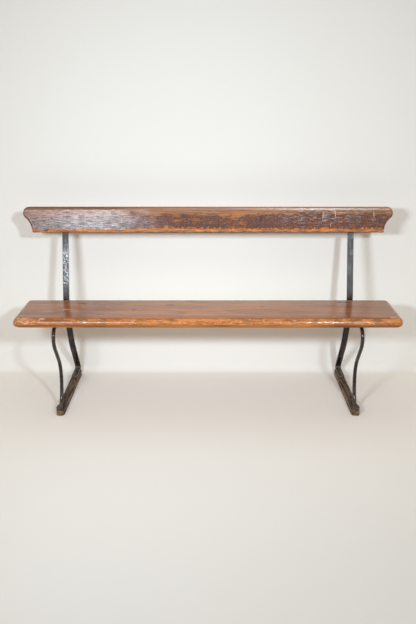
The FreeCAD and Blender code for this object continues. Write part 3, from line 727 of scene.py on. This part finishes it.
def crazed_varnish(sizes, colours):
    """Pine board under old dark varnish that has crazed and flaked along the grain.

    It gives the eye a purple brown broken by amber flecks, a sound glossy stretch at the left end, a
    bright strip along the foot, rubbed back to the pine with a ragged upper rim, and a brown rubbed top.
    """
    material, tree, place = start_material("Crazed varnish on pine")
    roundness = add(tree, "ShaderNodeAttribute", attribute_name="roundness", out="Fac")
    rise = add(tree, "ShaderNodeAttribute", attribute_name="rise", out="Fac")
    along = add(tree, "ShaderNodeSeparateXYZ", {0: place}, out="X")
    height = sums(tree, "MULTIPLY", rise, BOARD_HEIGHT)
    face = add(tree, "ShaderNodeCombineXYZ", {"X": along, "Y": height})
    craze = 1 / sizes.craze_cell
    drawn = 1 / sizes.streak_width
    rings = growth_rings(tree, place, sizes.ring_pitch, BOARD_HEART)
    # Streaks, flecks of the film, flakes of 77 by 33 mm, bands of 110, nibbles of 11 by 17 and jitter of 5
    broad = grain(tree, place, (drawn / 60, drawn / 2, drawn / 2), roughness=0.65)
    flecks = grain(
        tree, place, (craze / 7, craze * 1.2, craze * 1.2), detail=5.0, roughness=0.72, distortion=0.15
    )
    fine = grain(tree, face, (drawn / 6, drawn * 1.5, 1.0), detail=3.0, roughness=0.6)
    flakes = grain(tree, place, (13.0, 30.0, 30.0), detail=6.0, roughness=0.7)
    bands = grain(tree, place, (9.0, 1.0, 1.0), detail=3.0, roughness=0.6)
    ragged = grain(tree, place, (90.0, 60.0, 60.0), detail=4.0, roughness=0.75)
    jitter = grain(tree, place, (220.0, 220.0, 220.0), detail=2.0)
    sized = add(tree, "ShaderNodeVectorMath", {0: place, 1: (craze / 2, craze, craze)}, operation="MULTIPLY")
    cells = add(tree, "ShaderNodeTexVoronoi", {"Vector": sized, "Scale": 1.0}, feature="DISTANCE_TO_EDGE")

    dark = colours.varnish_dark
    brown = colours.varnish_brown
    wood = colours.worn_pine
    streaky = spread(tree, broad, 0.34, 0.66)
    pine = layered(
        tree, blend(tree, streaky, rgba(wood, 0.9), rgba(brown, 0.80)),
        (spread(tree, rise, 0.5, 0.85, 0.0, 0.45), rgba(colours.bare_pine, 0.42)),
        (sums(tree, "MULTIPLY", rings, 0.4), rgba(brown, 0.5)),
    )

    foot_cover = spread(tree, rise, 0.04, 0.22, -0.16, 0.10)
    head_cover = spread(tree, rise, 1.0, 0.5, -0.18, 0.06)
    cover = sums(tree, "MINIMUM", foot_cover, head_cover)
    banded = spread(tree, bands, 0.0, 1.0, -0.14, 0.14, "LINEAR")
    right_cover = spread(tree, along, 0.1, 0.55, 0.0, 0.05)
    speckle = sums(tree, "MULTIPLY", sums(tree, "ADD", flakes, flecks), 0.5)
    film = spread(tree, sums(tree, "ADD", speckle, cover, banded, right_cover), 0.475, 0.525)
    between_cracks = spread(tree, cells, 0.12, 0.03, 1.0, 0.5)
    covered = sums(tree, "MULTIPLY", film, between_cracks)
    deep = blend(tree, spread(tree, flecks, 0.36, 0.62), rgba(dark, 1.6), rgba(dark, 0.2))
    varnished = blend(tree, covered, pine, deep)

    shift = spread(tree, flakes, 0.0, 1.0, -0.3, 0.3, "LINEAR")
    sound = spread(tree, sums(tree, "ADD", along, shift), -0.14, -0.44)
    lower = spread(tree, sums(tree, "ADD", rise, sums(tree, "MULTIPLY", shift, 0.9)), 1.05, 0.55, 0.50, 0.85)
    low_face = spread(tree, sums(tree, "ADD", rise, shift), 0.72, 0.30)
    warm = blend(tree, spread(tree, fine, 0.36, 0.58), rgba(dark, 0.8), rgba(brown, 1.05))
    cool = blend(tree, spread(tree, fine, 0.42, 0.66), rgba(dark, 0.3), rgba(brown, 0.7))
    grained = blend(tree, low_face, warm, cool)

    nibble = spread(tree, ragged, 0.0, 1.0, -0.27, 0.27, "LINEAR")
    foot = spread(tree, sums(tree, "ADD", rise, nibble), 0.185, 0.095)
    foot_wood = blend(tree, spread(tree, flecks, 0.38, 0.60), rgba(wood, 1.42), rgba(wood, 0.34))
    left_end = spread(tree, along, -0.10, -0.45)
    right_end = spread(tree, along, 0.05, 0.45)
    nibbled_rise = sums(tree, "ADD", rise, sums(tree, "MULTIPLY", nibble, 0.12))
    brink = sums(tree, "MULTIPLY", spread(tree, nibbled_rise, 0.85, 0.895, 0.0, 0.95), left_end)
    nibbled_round = sums(tree, "ADD", roundness, sums(tree, "MULTIPLY", nibble, 0.8))
    rim = sums(tree, "MAXIMUM", spread(tree, nibbled_round, 0.3, 0.75, 0.0, 0.9), brink)
    rim_wood = blend(tree, spread(tree, along, -0.5, -0.1), rgba(wood, 0.30), rgba(wood, 0.72))
    # Painted shade: darker along the board's foot, more so from the middle to the right, where its lower edge
    # faces down
    painted_foot_shade = sums(tree, "MULTIPLY", spread(tree, rise, 0.052, 0.012), spread(tree, along, -0.5, 0.0, 0.4, 0.9))
    knots = spots(tree, face, BOARD_KNOTS, flakes, 0.7, 0.6)
    broken = spread(tree, jitter, 0.36, 0.5, 0.45, 0.95)
    scratches = sums(tree, "MULTIPLY", spots(tree, face, BOARD_SCRATCHES, jitter, 0.7, 0.6), broken)
    whole = layered(
        tree, varnished,
        (sums(tree, "MULTIPLY", sound, lower), grained),
        (foot, foot_wood),
        (sums(tree, "MULTIPLY", rim, spread(tree, rise, 0.16, 0.26)), rim_wood),
        (painted_foot_shade, rgba(colours.seat_dark, 0.6)),
        (sums(tree, "MULTIPLY", knots, 0.95), rgba(dark, 0.3)),
        (scratches, rgba(colours.bare_pine, 1.05)),
    )

    unrubbed = sums(tree, "SUBTRACT", 1.0, sums(tree, "MAXIMUM", foot, rim))
    sound_face = sums(tree, "MULTIPLY", sound, unrubbed)
    handled = spread(tree, sums(tree, "ADD", rise, sums(tree, "MULTIPLY", nibble, 0.15)), 0.84, 0.90)
    polished = sums(tree, "MULTIPLY", handled, spread(tree, along, -0.45, 0.45))
    glossy = sums(tree, "MAXIMUM", sound_face, polished)
    dull = spread(tree, flecks, 0.35, 0.65, 0.80, 0.50)
    satin = spread(tree, flecks, 0.3, 0.7, 0.50, 0.32)
    roughness = blend(tree, glossy, dull, satin, "Float")
    lift = sums(tree, "MULTIPLY", covered, cells)
    low = add(tree, "ShaderNodeBump", {"Strength": 1.0, "Distance": 0.0005, "Height": broad})
    middle = add(tree, "ShaderNodeBump", {
        "Strength": 1.0, "Distance": 0.0007, "Height": flecks, "Normal": low,
    })
    flaky = add(tree, "ShaderNodeBump", {
        "Strength": 1.0, "Distance": 0.0010, "Height": lift, "Normal": middle,
    })
    fine_bump = add(tree, "ShaderNodeBump", {"Strength": 1.0, "Distance": 0.0004, "Height": fine})
    sheen = sums(tree, "MULTIPLY", sound_face, spread(tree, fine, 0.38, 0.60, 0.22, 0.76))
    open_face = sums(tree, "SUBTRACT", 1.0, foot)
    high_face = spread(tree, rise, 0.2, 0.6, 0.35, 0.95)
    bright = spread(tree, fine, 0.50, 0.67, 0.0, 0.74)
    glints = sums(tree, "MULTIPLY", right_end, bright, open_face, high_face)
    polish = sums(tree, "MULTIPLY", polished, spread(tree, fine, 0.36, 0.52))
    coat = sums(tree, "MAXIMUM", sheen, glints, polish)
    finish_material(tree, {
        "Base Color": whole, "Roughness": roughness, "Normal": flaky, "IOR": 1.5,
        "Coat Weight": coat, "Coat Roughness": 0.27, "Coat IOR": 1.5, "Coat Normal": fine_bump,
    })
    return material


def painted_iron(name, sizes, colours, hammer_share):
    """Wrought iron, hammered at the forge and painted black many times.

    It gives the eye a near black with bright highlights on the hammer marks, small pits, brown where
    rust shows through the paint, and grey brown dust near the floor.
    """
    material, tree, place = start_material(name)
    along = add(tree, "ShaderNodeSeparateXYZ", {0: place}, out="X")
    height = add(tree, "ShaderNodeSeparateXYZ", {0: place}, out="Z")
    # Hammer marks, pits of 4 mm and rust in patches of 42 mm
    blow = 1.6 / sizes.hammer_mark
    marks = add(tree, "ShaderNodeTexVoronoi", {"Vector": place, "Scale": blow}, feature="SMOOTH_F1")
    pits = grain(tree, place, (260.0, 260.0, 260.0), detail=3.0)
    rust = grain(tree, place, (24.0, 24.0, 24.0), detail=5.0, roughness=0.68)
    dusty = spread(tree, rust, 0.3, 0.6, 0.35, 0.85)
    dust = sums(tree, "MULTIPLY", spread(tree, height, *DUST_HEIGHTS), dusty)
    colour = layered(
        tree, rgba(colours.iron_black),
        (spread(tree, rust, 0.46, 0.68), rgba(colours.iron_brown)),
        (spread(tree, pits, 0.56, 0.72, 0.0, 0.4), rgba(colours.iron_brown, 1.4)),
        (dust, rgba(colours.iron_dust)),
    )
    band = sums(tree, "MULTIPLY", spread(tree, height, *BEATEN_TOP), spread(tree, height, *BEATEN_FOOT))
    beaten = sums(tree, "MULTIPLY", band, spread(tree, along, 0.2, -0.2, 0.25, 1.0))
    low_gloss = spread(tree, rust, 0.38, 0.68, 0.12, 0.28)
    high_gloss = spread(tree, beaten, 0.0, 0.85, spread(tree, rust, 0.40, 0.62, 0.34, 0.56), 0.19)
    gloss = blend(tree, spread(tree, height, *ABOVE_SEAT), low_gloss, high_gloss, "Float")
    roughness = blend(tree, dust, gloss, 0.6, "Float")
    hammering = spread(tree, beaten, 0.0, 1.0, 0.08, hammer_share)
    hammered = add(tree, "ShaderNodeBump", {"Strength": hammering, "Distance": 0.0010, "Height": marks})
    pitted = add(tree, "ShaderNodeBump", {
        "Strength": 1.0, "Distance": 0.00016, "Height": pits, "Normal": hammered,
    })
    finish_material(tree, {"Base Color": colour, "Roughness": roughness, "Normal": pitted, "IOR": 1.5})
    return material


def weathered_wood(colours):
    """Softwood runner, sawn, never finished, weathered and scuffed on floors.

    It gives the eye a grey brown with dark wavy grooves along the grain and paler, warmer rubbed edges.
    """
    material, tree, place = start_material("Weathered softwood")
    roundness = add(tree, "ShaderNodeAttribute", attribute_name="roundness", out="Fac")
    # Grooves 9 mm apart and 125 mm long, and stains of 33 by 56 mm
    grooves = grain(tree, place, (115.0, 8.0, 115.0), distortion=1.1)
    stain = grain(tree, place, (30.0, 18.0, 30.0), detail=5.0)
    stray = spread(tree, stain, 0.0, 1.0, -0.6, 0.6, "LINEAR")
    rubbed = spread(tree, sums(tree, "ADD", roundness, stray), 0.6, 1.2, 0.0, 0.8)
    ridges = spread(tree, grooves, 0.455, 0.53, 1.0, 0.2)
    colour = layered(
        tree, rgba(colours.runner_grey),
        (spread(tree, grooves, 0.455, 0.53), rgba(colours.runner_dark)),
        (spread(tree, stain, 0.45, 0.68, 0.0, 0.7), rgba(colours.runner_dark, 1.3)),
        (sums(tree, "MULTIPLY", rubbed, ridges), rgba(colours.runner_edge)),
    )
    relief = {"Strength": 1.0, "Distance": 0.0018, "Height": grooves}
    grooved = add(tree, "ShaderNodeBump", relief, invert=True)
    finish_material(tree, {"Base Color": colour, "Roughness": 0.8, "Normal": grooved, "IOR": 1.45})
    return material


def darkened_steel(colours):
    """Old wood screws, turned from steel and darkened by age.

    It gives the eye a dull dark grey that catches a little light on its rims.
    """
    material, tree, place = start_material("Darkened steel")
    # Tarnish in specks of 3 mm
    tarnish = grain(tree, place, (320.0, 320.0, 320.0), detail=3.0)
    metal = blend(tree, spread(tree, tarnish, 0.4, 0.7), rgba(colours.screw_grey), rgba(colours.iron_brown))
    roughness = spread(tree, tarnish, 0.2, 0.8, 0.35, 0.6)
    rough = add(tree, "ShaderNodeBump", {"Strength": 0.5, "Distance": 0.0002, "Height": tarnish})
    finish_material(tree, {"Base Color": metal, "Metallic": 0.9, "Roughness": roughness, "Normal": rough})
    return material


def pale_cloth(stage):
    """Plain pale cotton, matt, seen from its front only, so that the bench shows from behind too.

    It is a little darker towards the front of the floor, a painted shade which keeps the picture's foot from
    glaring, and fades into the pale surroundings far from the bench, where no lamp reaches it.
    """
    material, tree, place = start_material("Pale cotton cloth")
    depth = add(tree, "ShaderNodeSeparateXYZ", {0: place}, out="Y")
    # Painted shade: the cloth is darker towards the front of the floor
    shade = spread(tree, depth, *CLOTH_SHADE_DEPTHS)
    colour = blend(tree, shade, rgba(stage.cloth), rgba(stage.cloth, CLOTH_SHADE))
    cotton = add(tree, "ShaderNodeBsdfDiffuse", {"Color": colour})
    clear = add(tree, "ShaderNodeBsdfTransparent")
    behind = add(tree, "ShaderNodeNewGeometry", out="Backfacing")
    ends = {0: place, 1: CLOTH_FADE_CENTRE}
    away = add(tree, "ShaderNodeVectorMath", ends, operation="DISTANCE", out="Value")
    gone = sums(tree, "MAXIMUM", behind, spread(tree, away, *CLOTH_FADE))
    shader = add(tree, "ShaderNodeMixShader", {0: gone, 1: cotton, 2: clear})
    add(tree, "ShaderNodeOutputMaterial", {"Surface": shader}, out=None)
    return material


# Pieces
def bench(context):
    """Sizes and colours of the scene's bench."""
    scene = context.scene
    return scene.bench_sizes, scene.bench_colours


def shared_material(name, make):
    """The material of that name, made when it isn't there yet."""
    return bpy.data.materials.get(name) or make()


def iron_for(context):
    """The iron of both end frames, in one material that their pieces share."""
    sizes, colours = bench(context)
    name = "Black-painted wrought iron"
    return shared_material(name, lambda: painted_iron(name, sizes, colours, 1.0))


class BENCH_OT_seat_plank(bpy.types.Operator):
    """Pine seat plank with round, rubbed edges"""

    bl_idname = "bench.seat_plank"
    bl_label = "Seat Plank"

    def execute(self, context):
        sizes, colours = bench(context)
        low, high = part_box("seat_plank")
        thickness = high.z - low.z
        sides = round_cornered(low, high, SEAT_FRONT_CORNER, SEAT_BACK_CORNER, sizes.cell)
        profile = edge_profile(thickness, SEAT_TOP_ROUND, SEAT_UNDER_ROUND, sizes.cell)
        points, faces, values = slab(sides, profile, lambda u, v, level: (u, v, low.z + level))
        piece = new_piece("seat_plank", points, faces, waxed_pine(sizes, colours), values)

        def depth_at(point, normal):
            """Shallow hollows on top, and dents rubbed into the round edges."""
            round_share = 1 - abs(normal.z)
            dents = sizes.edge_wear * round_share * ripple(point, 0.03, 0.02, 0.02, 11) ** 2
            if normal.z < 0:
                return dents
            hollows = sizes.edge_wear * HOLLOW_SHARE * ripple(point, 0.30, 0.08, 0.3, 3)
            knots = max(spot_depth(point, mark) for mark in SEAT_KNOTS)
            return dents + hollows + KNOT_DEPTH * knots

        wear(piece, depth_at)
        return {"FINISHED"}


def spot_depth(point, mark):
    """1 in the middle of a spot, falling to 0 at its rim."""
    x, y, half_length, half_width = mark
    away = math.hypot((point.x - x) / half_length, (point.y - y) / half_width)
    return max(0.0, 1 - away)


def board_sides(half_length, cell):
    """Four sides of the back board's outline, its ends a round nose over a hollow."""
    nose = (half_length - BOARD_NOSE_ROUND, BOARD_HEIGHT - BOARD_NOSE_ROUND)
    turn = BOARD_NOSE_TURN
    join = (nose[0] + BOARD_NOSE_ROUND * math.cos(turn), nose[1] - BOARD_NOSE_ROUND * math.sin(turn))
    hollow = (join[1] - BOARD_LAND) / math.sin(turn)
    foot = join[0] - hollow * (1 - math.cos(turn))
    right = np.vstack((
        [(foot, 0)],
        arc((foot + hollow, BOARD_LAND), hollow, math.pi, math.pi - turn),
        arc(nose, BOARD_NOSE_ROUND, -turn, math.pi / 4),
    ))
    top_right = arc(nose, BOARD_NOSE_ROUND, math.pi / 4, math.pi / 2)
    mirror = np.array((-1, 1))
    across = round(2 * half_length / cell)
    up = round(BOARD_HEIGHT / cell * 1.3)
    runs = (
        (np.array([(-foot, 0), (foot, 0)]), across),
        (right, up),
        (np.vstack((top_right, (top_right * mirror)[::-1])), across),
        ((right * mirror)[::-1], up),
    )
    return [evenly(run, cells + 1) for run, cells in runs]


class BENCH_OT_back_board(bpy.types.Operator):
    """Shaped pine back board under crazed varnish"""

    bl_idname = "bench.back_board"
    bl_label = "Back Board"

    def execute(self, context):
        sizes, colours = bench(context)
        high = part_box("back_board")[1]
        up = Vector((0, math.sin(RAKE), math.cos(RAKE)))
        front = Vector((0, -math.cos(RAKE), math.sin(RAKE)))
        front_corner = up * (BOARD_HEIGHT - BOARD_FRONT_ROUND) + front * (BOARD_THICKNESS - BOARD_FRONT_ROUND)
        back_corner = up * (BOARD_HEIGHT - BOARD_BACK_ROUND) + front * BOARD_BACK_ROUND
        foot = Vector((
            0,
            high.y - back_corner.y - BOARD_BACK_ROUND,
            high.z - front_corner.z - BOARD_FRONT_ROUND,
        ))

        def place(u, v, level):
            return foot + Vector((u, 0, 0)) + up * v + front * level

        sides = board_sides(high.x, sizes.cell)
        profile = edge_profile(BOARD_THICKNESS, BOARD_FRONT_ROUND, BOARD_BACK_ROUND, sizes.cell)
        points, faces, values = slab(sides, profile, place)
        values["rise"] = (points - np.array(foot)) @ np.array(up) / BOARD_HEIGHT
        piece = new_piece("back_board", points, faces, crazed_varnish(sizes, colours), values)

        def depth_at(point, normal):
            """Rubbed and nibbled edges, most of all along the foot."""
            facing = normal.dot(front)
            if facing < -0.9:
                return 0.0
            rise = (point - foot).dot(up) / BOARD_HEIGHT
            round_share = 1 - abs(facing)
            low_share = 1.0 if rise < 0.2 else 0.5
            nibbles = sizes.edge_wear * round_share * low_share * ripple(point, 0.025, 0.02, 0.012, 5) ** 2
            streaks = BOARD_GRAIN_DEPTH * ripple(point, 0.4, 0.012, 0.012, 8)
            crown = BOARD_CROWN * (1 - rise) ** 2 if facing > 0 else 0.0
            return nibbles + streaks + crown

        wear(piece, depth_at)
        return {"FINISHED"}


class BENCH_OT_back_standards(bpy.types.Operator):
    """Flat forged bars from the back board down to the runners"""

    bl_idname = "bench.back_standards"
    bl_label = "Back Standards"

    def execute(self, context):
        sizes = context.scene.bench_sizes
        line = bent_line(BAR_CORNERS, BAR_BENDS)
        total = travelled(line)[-1]
        stations = bar_stations(total, BAR_TOP_ROUND, BAR_FLANGE_ROUND, sizes.bar_cell)
        count = BAR_SECTION_POINTS
        iron = iron_for(context)

        def section_at(station):
            narrow = narrowing(station, BAR_TOP_ROUND) + narrowing(total - station, BAR_FLANGE_ROUND)
            edge = narrowing(min(station, total - station), BAR_EDGE_ROUND)
            half_width = BAR_WIDTH / 2 - narrow
            return bar_section(half_width, BAR_THICKNESS / 2 - edge, BAR_EDGE_ROUND, count)

        def depth_at(point, normal):
            return hammer_depth(point, sizes, 1.0)

        for name in SIDES:
            node = name + "_back_standard"
            low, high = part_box(node)
            points, faces = forge(line, (low.x + high.x) / 2, stations, section_at, count)
            piece = new_piece(node, points, faces, iron)
            wear(piece, depth_at)
            top = Vector(((low.x + high.x) / 2, 0, BAR_CORNERS[-1][1] + BAR_THICKNESS / 2))
            for setback in HEEL_SCREW_PLACES:
                bore(piece, top + Vector((0, BAR_CORNERS[-1][0] + setback, 0)), iron)
        return {"FINISHED"}


def hammer_depth(point, sizes, share):
    """Depth of the shallow dishes that hammer blows leave, with ridges between them."""
    away = noise.voronoi(point / sizes.hammer_mark)[0][0]
    return sizes.hammer_depth * share * max(0.0, 1 - (away / DISH_REACH) ** 2)


class BENCH_OT_front_legs(bpy.types.Operator):
    """Round forged legs with a palm at each end"""

    bl_idname = "bench.front_legs"
    bl_label = "Front Legs"

    def execute(self, context):
        sizes = context.scene.bench_sizes
        iron = iron_for(context)
        count = LEG_SECTION_POINTS
        for name in SIDES:
            node = name + "_front_leg"
            low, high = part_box(node)
            x = (low.x + high.x) / 2
            top = high.z - TOP_PALM["thickness"] / 2
            toe = low.z + TOE_PALM["thickness"] / 2
            knee = low.y + LEG_RADIUS
            corners = (
                (high.y, top),
                (knee, top),
                (knee, LEG_KNEE_HEIGHT),
                (LEG_CALF_DEPTH, LEG_CALF_HEIGHT),
                (LEG_CALF_DEPTH, LEG_ANKLE_HEIGHT),
                (LEG_TOE_DEPTH, toe),
                (LEG_TOE_TIP, toe),
            )
            line = bent_line(corners, LEG_BENDS)
            total = travelled(line)[-1]
            tips = (TOP_PALM["width"] / 2 - PALM_EDGE_ROUND, TOE_PALM["width"] / 2 - PALM_EDGE_ROUND)
            stations = bar_stations(total, *tips, sizes.bar_cell)

            def section_at(station):
                return palm_section(station, total, tips, count)

            points, faces = forge(line, x, stations, section_at, count)
            points[:, 2] = np.clip(points[:, 2], low.z, high.z)
            piece = new_piece(node, points, faces, iron)
            wear(piece, lambda point, normal: hammer_depth(point, sizes, 0.5) * (1 - abs(normal.z)))
            bore(piece, Vector((x, LEG_TOE_TIP + TOE_SCREW_PLACE, toe + TOE_PALM["thickness"] / 2)), iron)
        return {"FINISHED"}


def palm_section(station, total, tips, count):
    """Section of a leg: flat with round tips at the palms, round between them."""
    half_width = half_thickness = corner = LEG_RADIUS
    for distance, palm, tip in ((station, TOP_PALM, tips[0]), (total - station, TOE_PALM, tips[1])):
        if distance > palm["length"]:
            continue
        share = min(1.0, (palm["length"] - distance) / PALM_SPREAD)
        share = share * share * (3 - 2 * share)
        half_width = LEG_RADIUS + (palm["width"] / 2 - LEG_RADIUS) * share - narrowing(distance, tip)
        half_thickness = LEG_RADIUS + (palm["thickness"] / 2 - LEG_RADIUS) * share
        half_thickness -= narrowing(distance, PALM_EDGE_ROUND)
        corner = LEG_RADIUS + (PALM_EDGE_ROUND - LEG_RADIUS) * share
    return bar_section(half_width, half_thickness, corner, count)


class BENCH_OT_foot_runners(bpy.types.Operator):
    """Weathered wooden runners on the floor"""

    bl_idname = "bench.foot_runners"
    bl_label = "Foot Runners"

    def execute(self, context):
        sizes, colours = bench(context)
        wood = weathered_wood(colours)
        cell = sizes.cell * 0.7
        for name in SIDES:
            node = name + "_foot_runner"
            low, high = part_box(node)
            sides = round_cornered(low, high, RUNNER_FRONT_ROUND, RUNNER_BACK_ROUND, cell)
            profile = edge_profile(high.z - low.z, RUNNER_TOP_ROUND, RUNNER_FOOT_ROUND, cell)
            points, faces, values = slab(sides, profile, lambda u, v, level: (u, v, low.z + level))
            piece = new_piece(node, points, faces, wood, values)

            def depth_at(point, normal):
                """Grooves along the grain and rubbed edges, none underneath."""
                if normal.z < -0.5:
                    return 0.0
                grooves = ripple(point, 0.006, 0.07, 0.006, 2) ** 2
                rubbed = (1 - abs(normal.z)) * ripple(point, 0.02, 0.03, 0.02, 9)
                return GROOVE_DEPTH * grooves + sizes.edge_wear * 0.8 * rubbed

            wear(piece, depth_at)
        return {"FINISHED"}


class BENCH_OT_fixings(bpy.types.Operator):
    """Finishes of the straps, rivets and screws, whose CAD shapes stay"""

    bl_idname = "bench.fixings"
    bl_label = "Straps, Rivets and Screws"

    def execute(self, context):
        sizes, colours = bench(context)
        iron = iron_for(context)
        steel = darkened_steel(colours)
        rivet_name = "Black-painted rivet iron"
        rivet = shared_material(rivet_name, lambda: painted_iron(rivet_name, sizes, colours, 0.4))
        finishes = {"seat_strap": iron, "rivets": rivet, "screw": steel}
        for node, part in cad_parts.items():
            for word, finish in finishes.items():
                if word in node:
                    for socket in part.material_slots:
                        socket.material = finish
        return {"FINISHED"}


class BENCH_OT_stage(bpy.types.Operator):
    """Pale backdrop and floor, two soft lamps, the room's warm light and the camera"""

    bl_idname = "bench.stage"
    bl_label = "Stage"

    def execute(self, context):
        stage = context.scene.bench_stage
        backdrop(stage)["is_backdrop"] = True
        lamp("left lamp", LEFT_LAMP_PLACE, LEFT_LAMP_SIZE, stage.left_lamp, stage.lamp_white)
        lamp("right lamp", RIGHT_LAMP_PLACE, RIGHT_LAMP_SIZE, stage.right_lamp, stage.lamp_white)
        daylight(context.scene, stage)
        camera = in_scene("camera", bpy.data.cameras.new("camera"))
        camera.data.lens = CAMERA_LENS
        camera.data.sensor_width = CAMERA_SENSOR
        camera.location = (0, stage.camera_depth, stage.camera_height)
        camera.rotation_euler = (math.pi / 2 - stage.camera_tilt, 0, 0)
        context.scene.camera = camera
        context.scene.view_settings.view_transform = "Standard"
        return {"FINISHED"}


def backdrop(stage):
    """Floor that sweeps up into a wall behind the bench."""
    cove = arc((stage.wall_depth - COVE_ROUND, COVE_ROUND), COVE_ROUND, -math.pi / 2, 0, 12)
    profile = [(-STAGE_REACH, 0), *cove, (stage.wall_depth, STAGE_HEIGHT)]
    points = [(x, y, z) for y, z in profile for x in (-STAGE_REACH, STAGE_REACH)]
    faces = [(2 * i, 2 * i + 1, 2 * i + 3, 2 * i + 2) for i in range(len(profile) - 1)]
    mesh = bpy.data.meshes.new("backdrop")
    mesh.from_pydata(points, [], faces)
    mesh.materials.append(pale_cloth(stage))
    mesh.shade_smooth()
    return in_scene("backdrop", mesh)


def lamp(name, place, size, power, white):
    """Soft rectangular lamp that looks at the upper middle of the bench."""
    light = bpy.data.lights.new(name, "AREA")
    light.energy = power
    light.color = white
    light.shape = "RECTANGLE"
    light.size, light.size_y = size
    light.spread = LAMP_SPREAD
    holder = in_scene(name, light)
    holder.location = place
    holder.rotation_euler = (LAMP_AIM - Vector(place)).to_track_quat("-Z", "Y").to_euler()


def daylight(scene, stage):
    """Warm light of the room, most of it from above, which cameras and gloss see as the pale backdrop."""
    world = scene.world or bpy.data.worlds.new("world")
    scene.world = world
    world.use_nodes = True
    tree = world.node_tree
    tree.nodes.clear()
    rays = add(tree, "ShaderNodeLightPath").node.outputs
    kinds = ("Is Camera Ray", "Is Glossy Ray", "Is Transmission Ray")
    shown = sums(tree, "MAXIMUM", *(rays[kind] for kind in kinds))
    way = add(tree, "ShaderNodeTexCoord", out="Generated")
    height = add(tree, "ShaderNodeSeparateXYZ", {0: way}, out="Z")
    level_light = stage.daylight * stage.low_share
    strength = spread(tree, height, 0.0, 1.0, level_light, stage.daylight, "LINEAR")
    warmth = blend(tree, height, rgba(stage.room_low), rgba(stage.room_white))
    light = add(tree, "ShaderNodeBackground", {"Color": warmth, "Strength": strength})
    cloth = add(tree, "ShaderNodeBackground", {"Color": rgba(stage.cloth), "Strength": SHOWN_WORLD})
    shader = add(tree, "ShaderNodeMixShader", {0: shown, 1: light, 2: cloth})
    add(tree, "ShaderNodeOutputWorld", {"Surface": shader}, out=None)


class VIEW3D_PT_bench(bpy.types.Panel):
    """The bench's sizes, colours and pieces"""

    bl_label = "Country Bench"
    bl_space_type = "VIEW_3D"
    bl_region_type = "UI"
    bl_category = "Bench"

    def draw(self, context):
        for group in (context.scene.bench_sizes, context.scene.bench_colours, context.scene.bench_stage):
            box = self.layout.box()
            for key in group.__annotations__:
                box.prop(group, key)
        for operator in OPERATORS:
            self.layout.operator(operator.bl_idname)


OPERATORS = (
    BENCH_OT_seat_plank,
    BENCH_OT_back_board,
    BENCH_OT_back_standards,
    BENCH_OT_front_legs,
    BENCH_OT_foot_runners,
    BENCH_OT_fixings,
    BENCH_OT_stage,
)
GROUPS = {"bench_sizes": BenchSizes, "bench_colours": BenchColours, "bench_stage": BenchStage}


def register():
    for made in (*GROUPS.values(), *OPERATORS, VIEW3D_PT_bench):
        bpy.utils.register_class(made)
    for key, group in GROUPS.items():
        setattr(bpy.types.Scene, key, PointerProperty(type=group))


def unregister():
    for key in GROUPS:
        delattr(bpy.types.Scene, key)
    for made in (VIEW3D_PT_bench, *reversed(OPERATORS), *GROUPS.values()):
        bpy.utils.unregister_class(made)


def main():
    register()
    bpy.ops.bench.seat_plank()
    bpy.ops.bench.back_board()
    bpy.ops.bench.back_standards()
    bpy.ops.bench.front_legs()
    bpy.ops.bench.foot_runners()
    bpy.ops.bench.fixings()
    bpy.ops.bench.stage()
    boxes = {"cad": CAD_BOX, "visual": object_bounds()}
    {key: [list(corner) for corner in box] for key, box in boxes.items()}


if __name__ == "__main__":
    main()
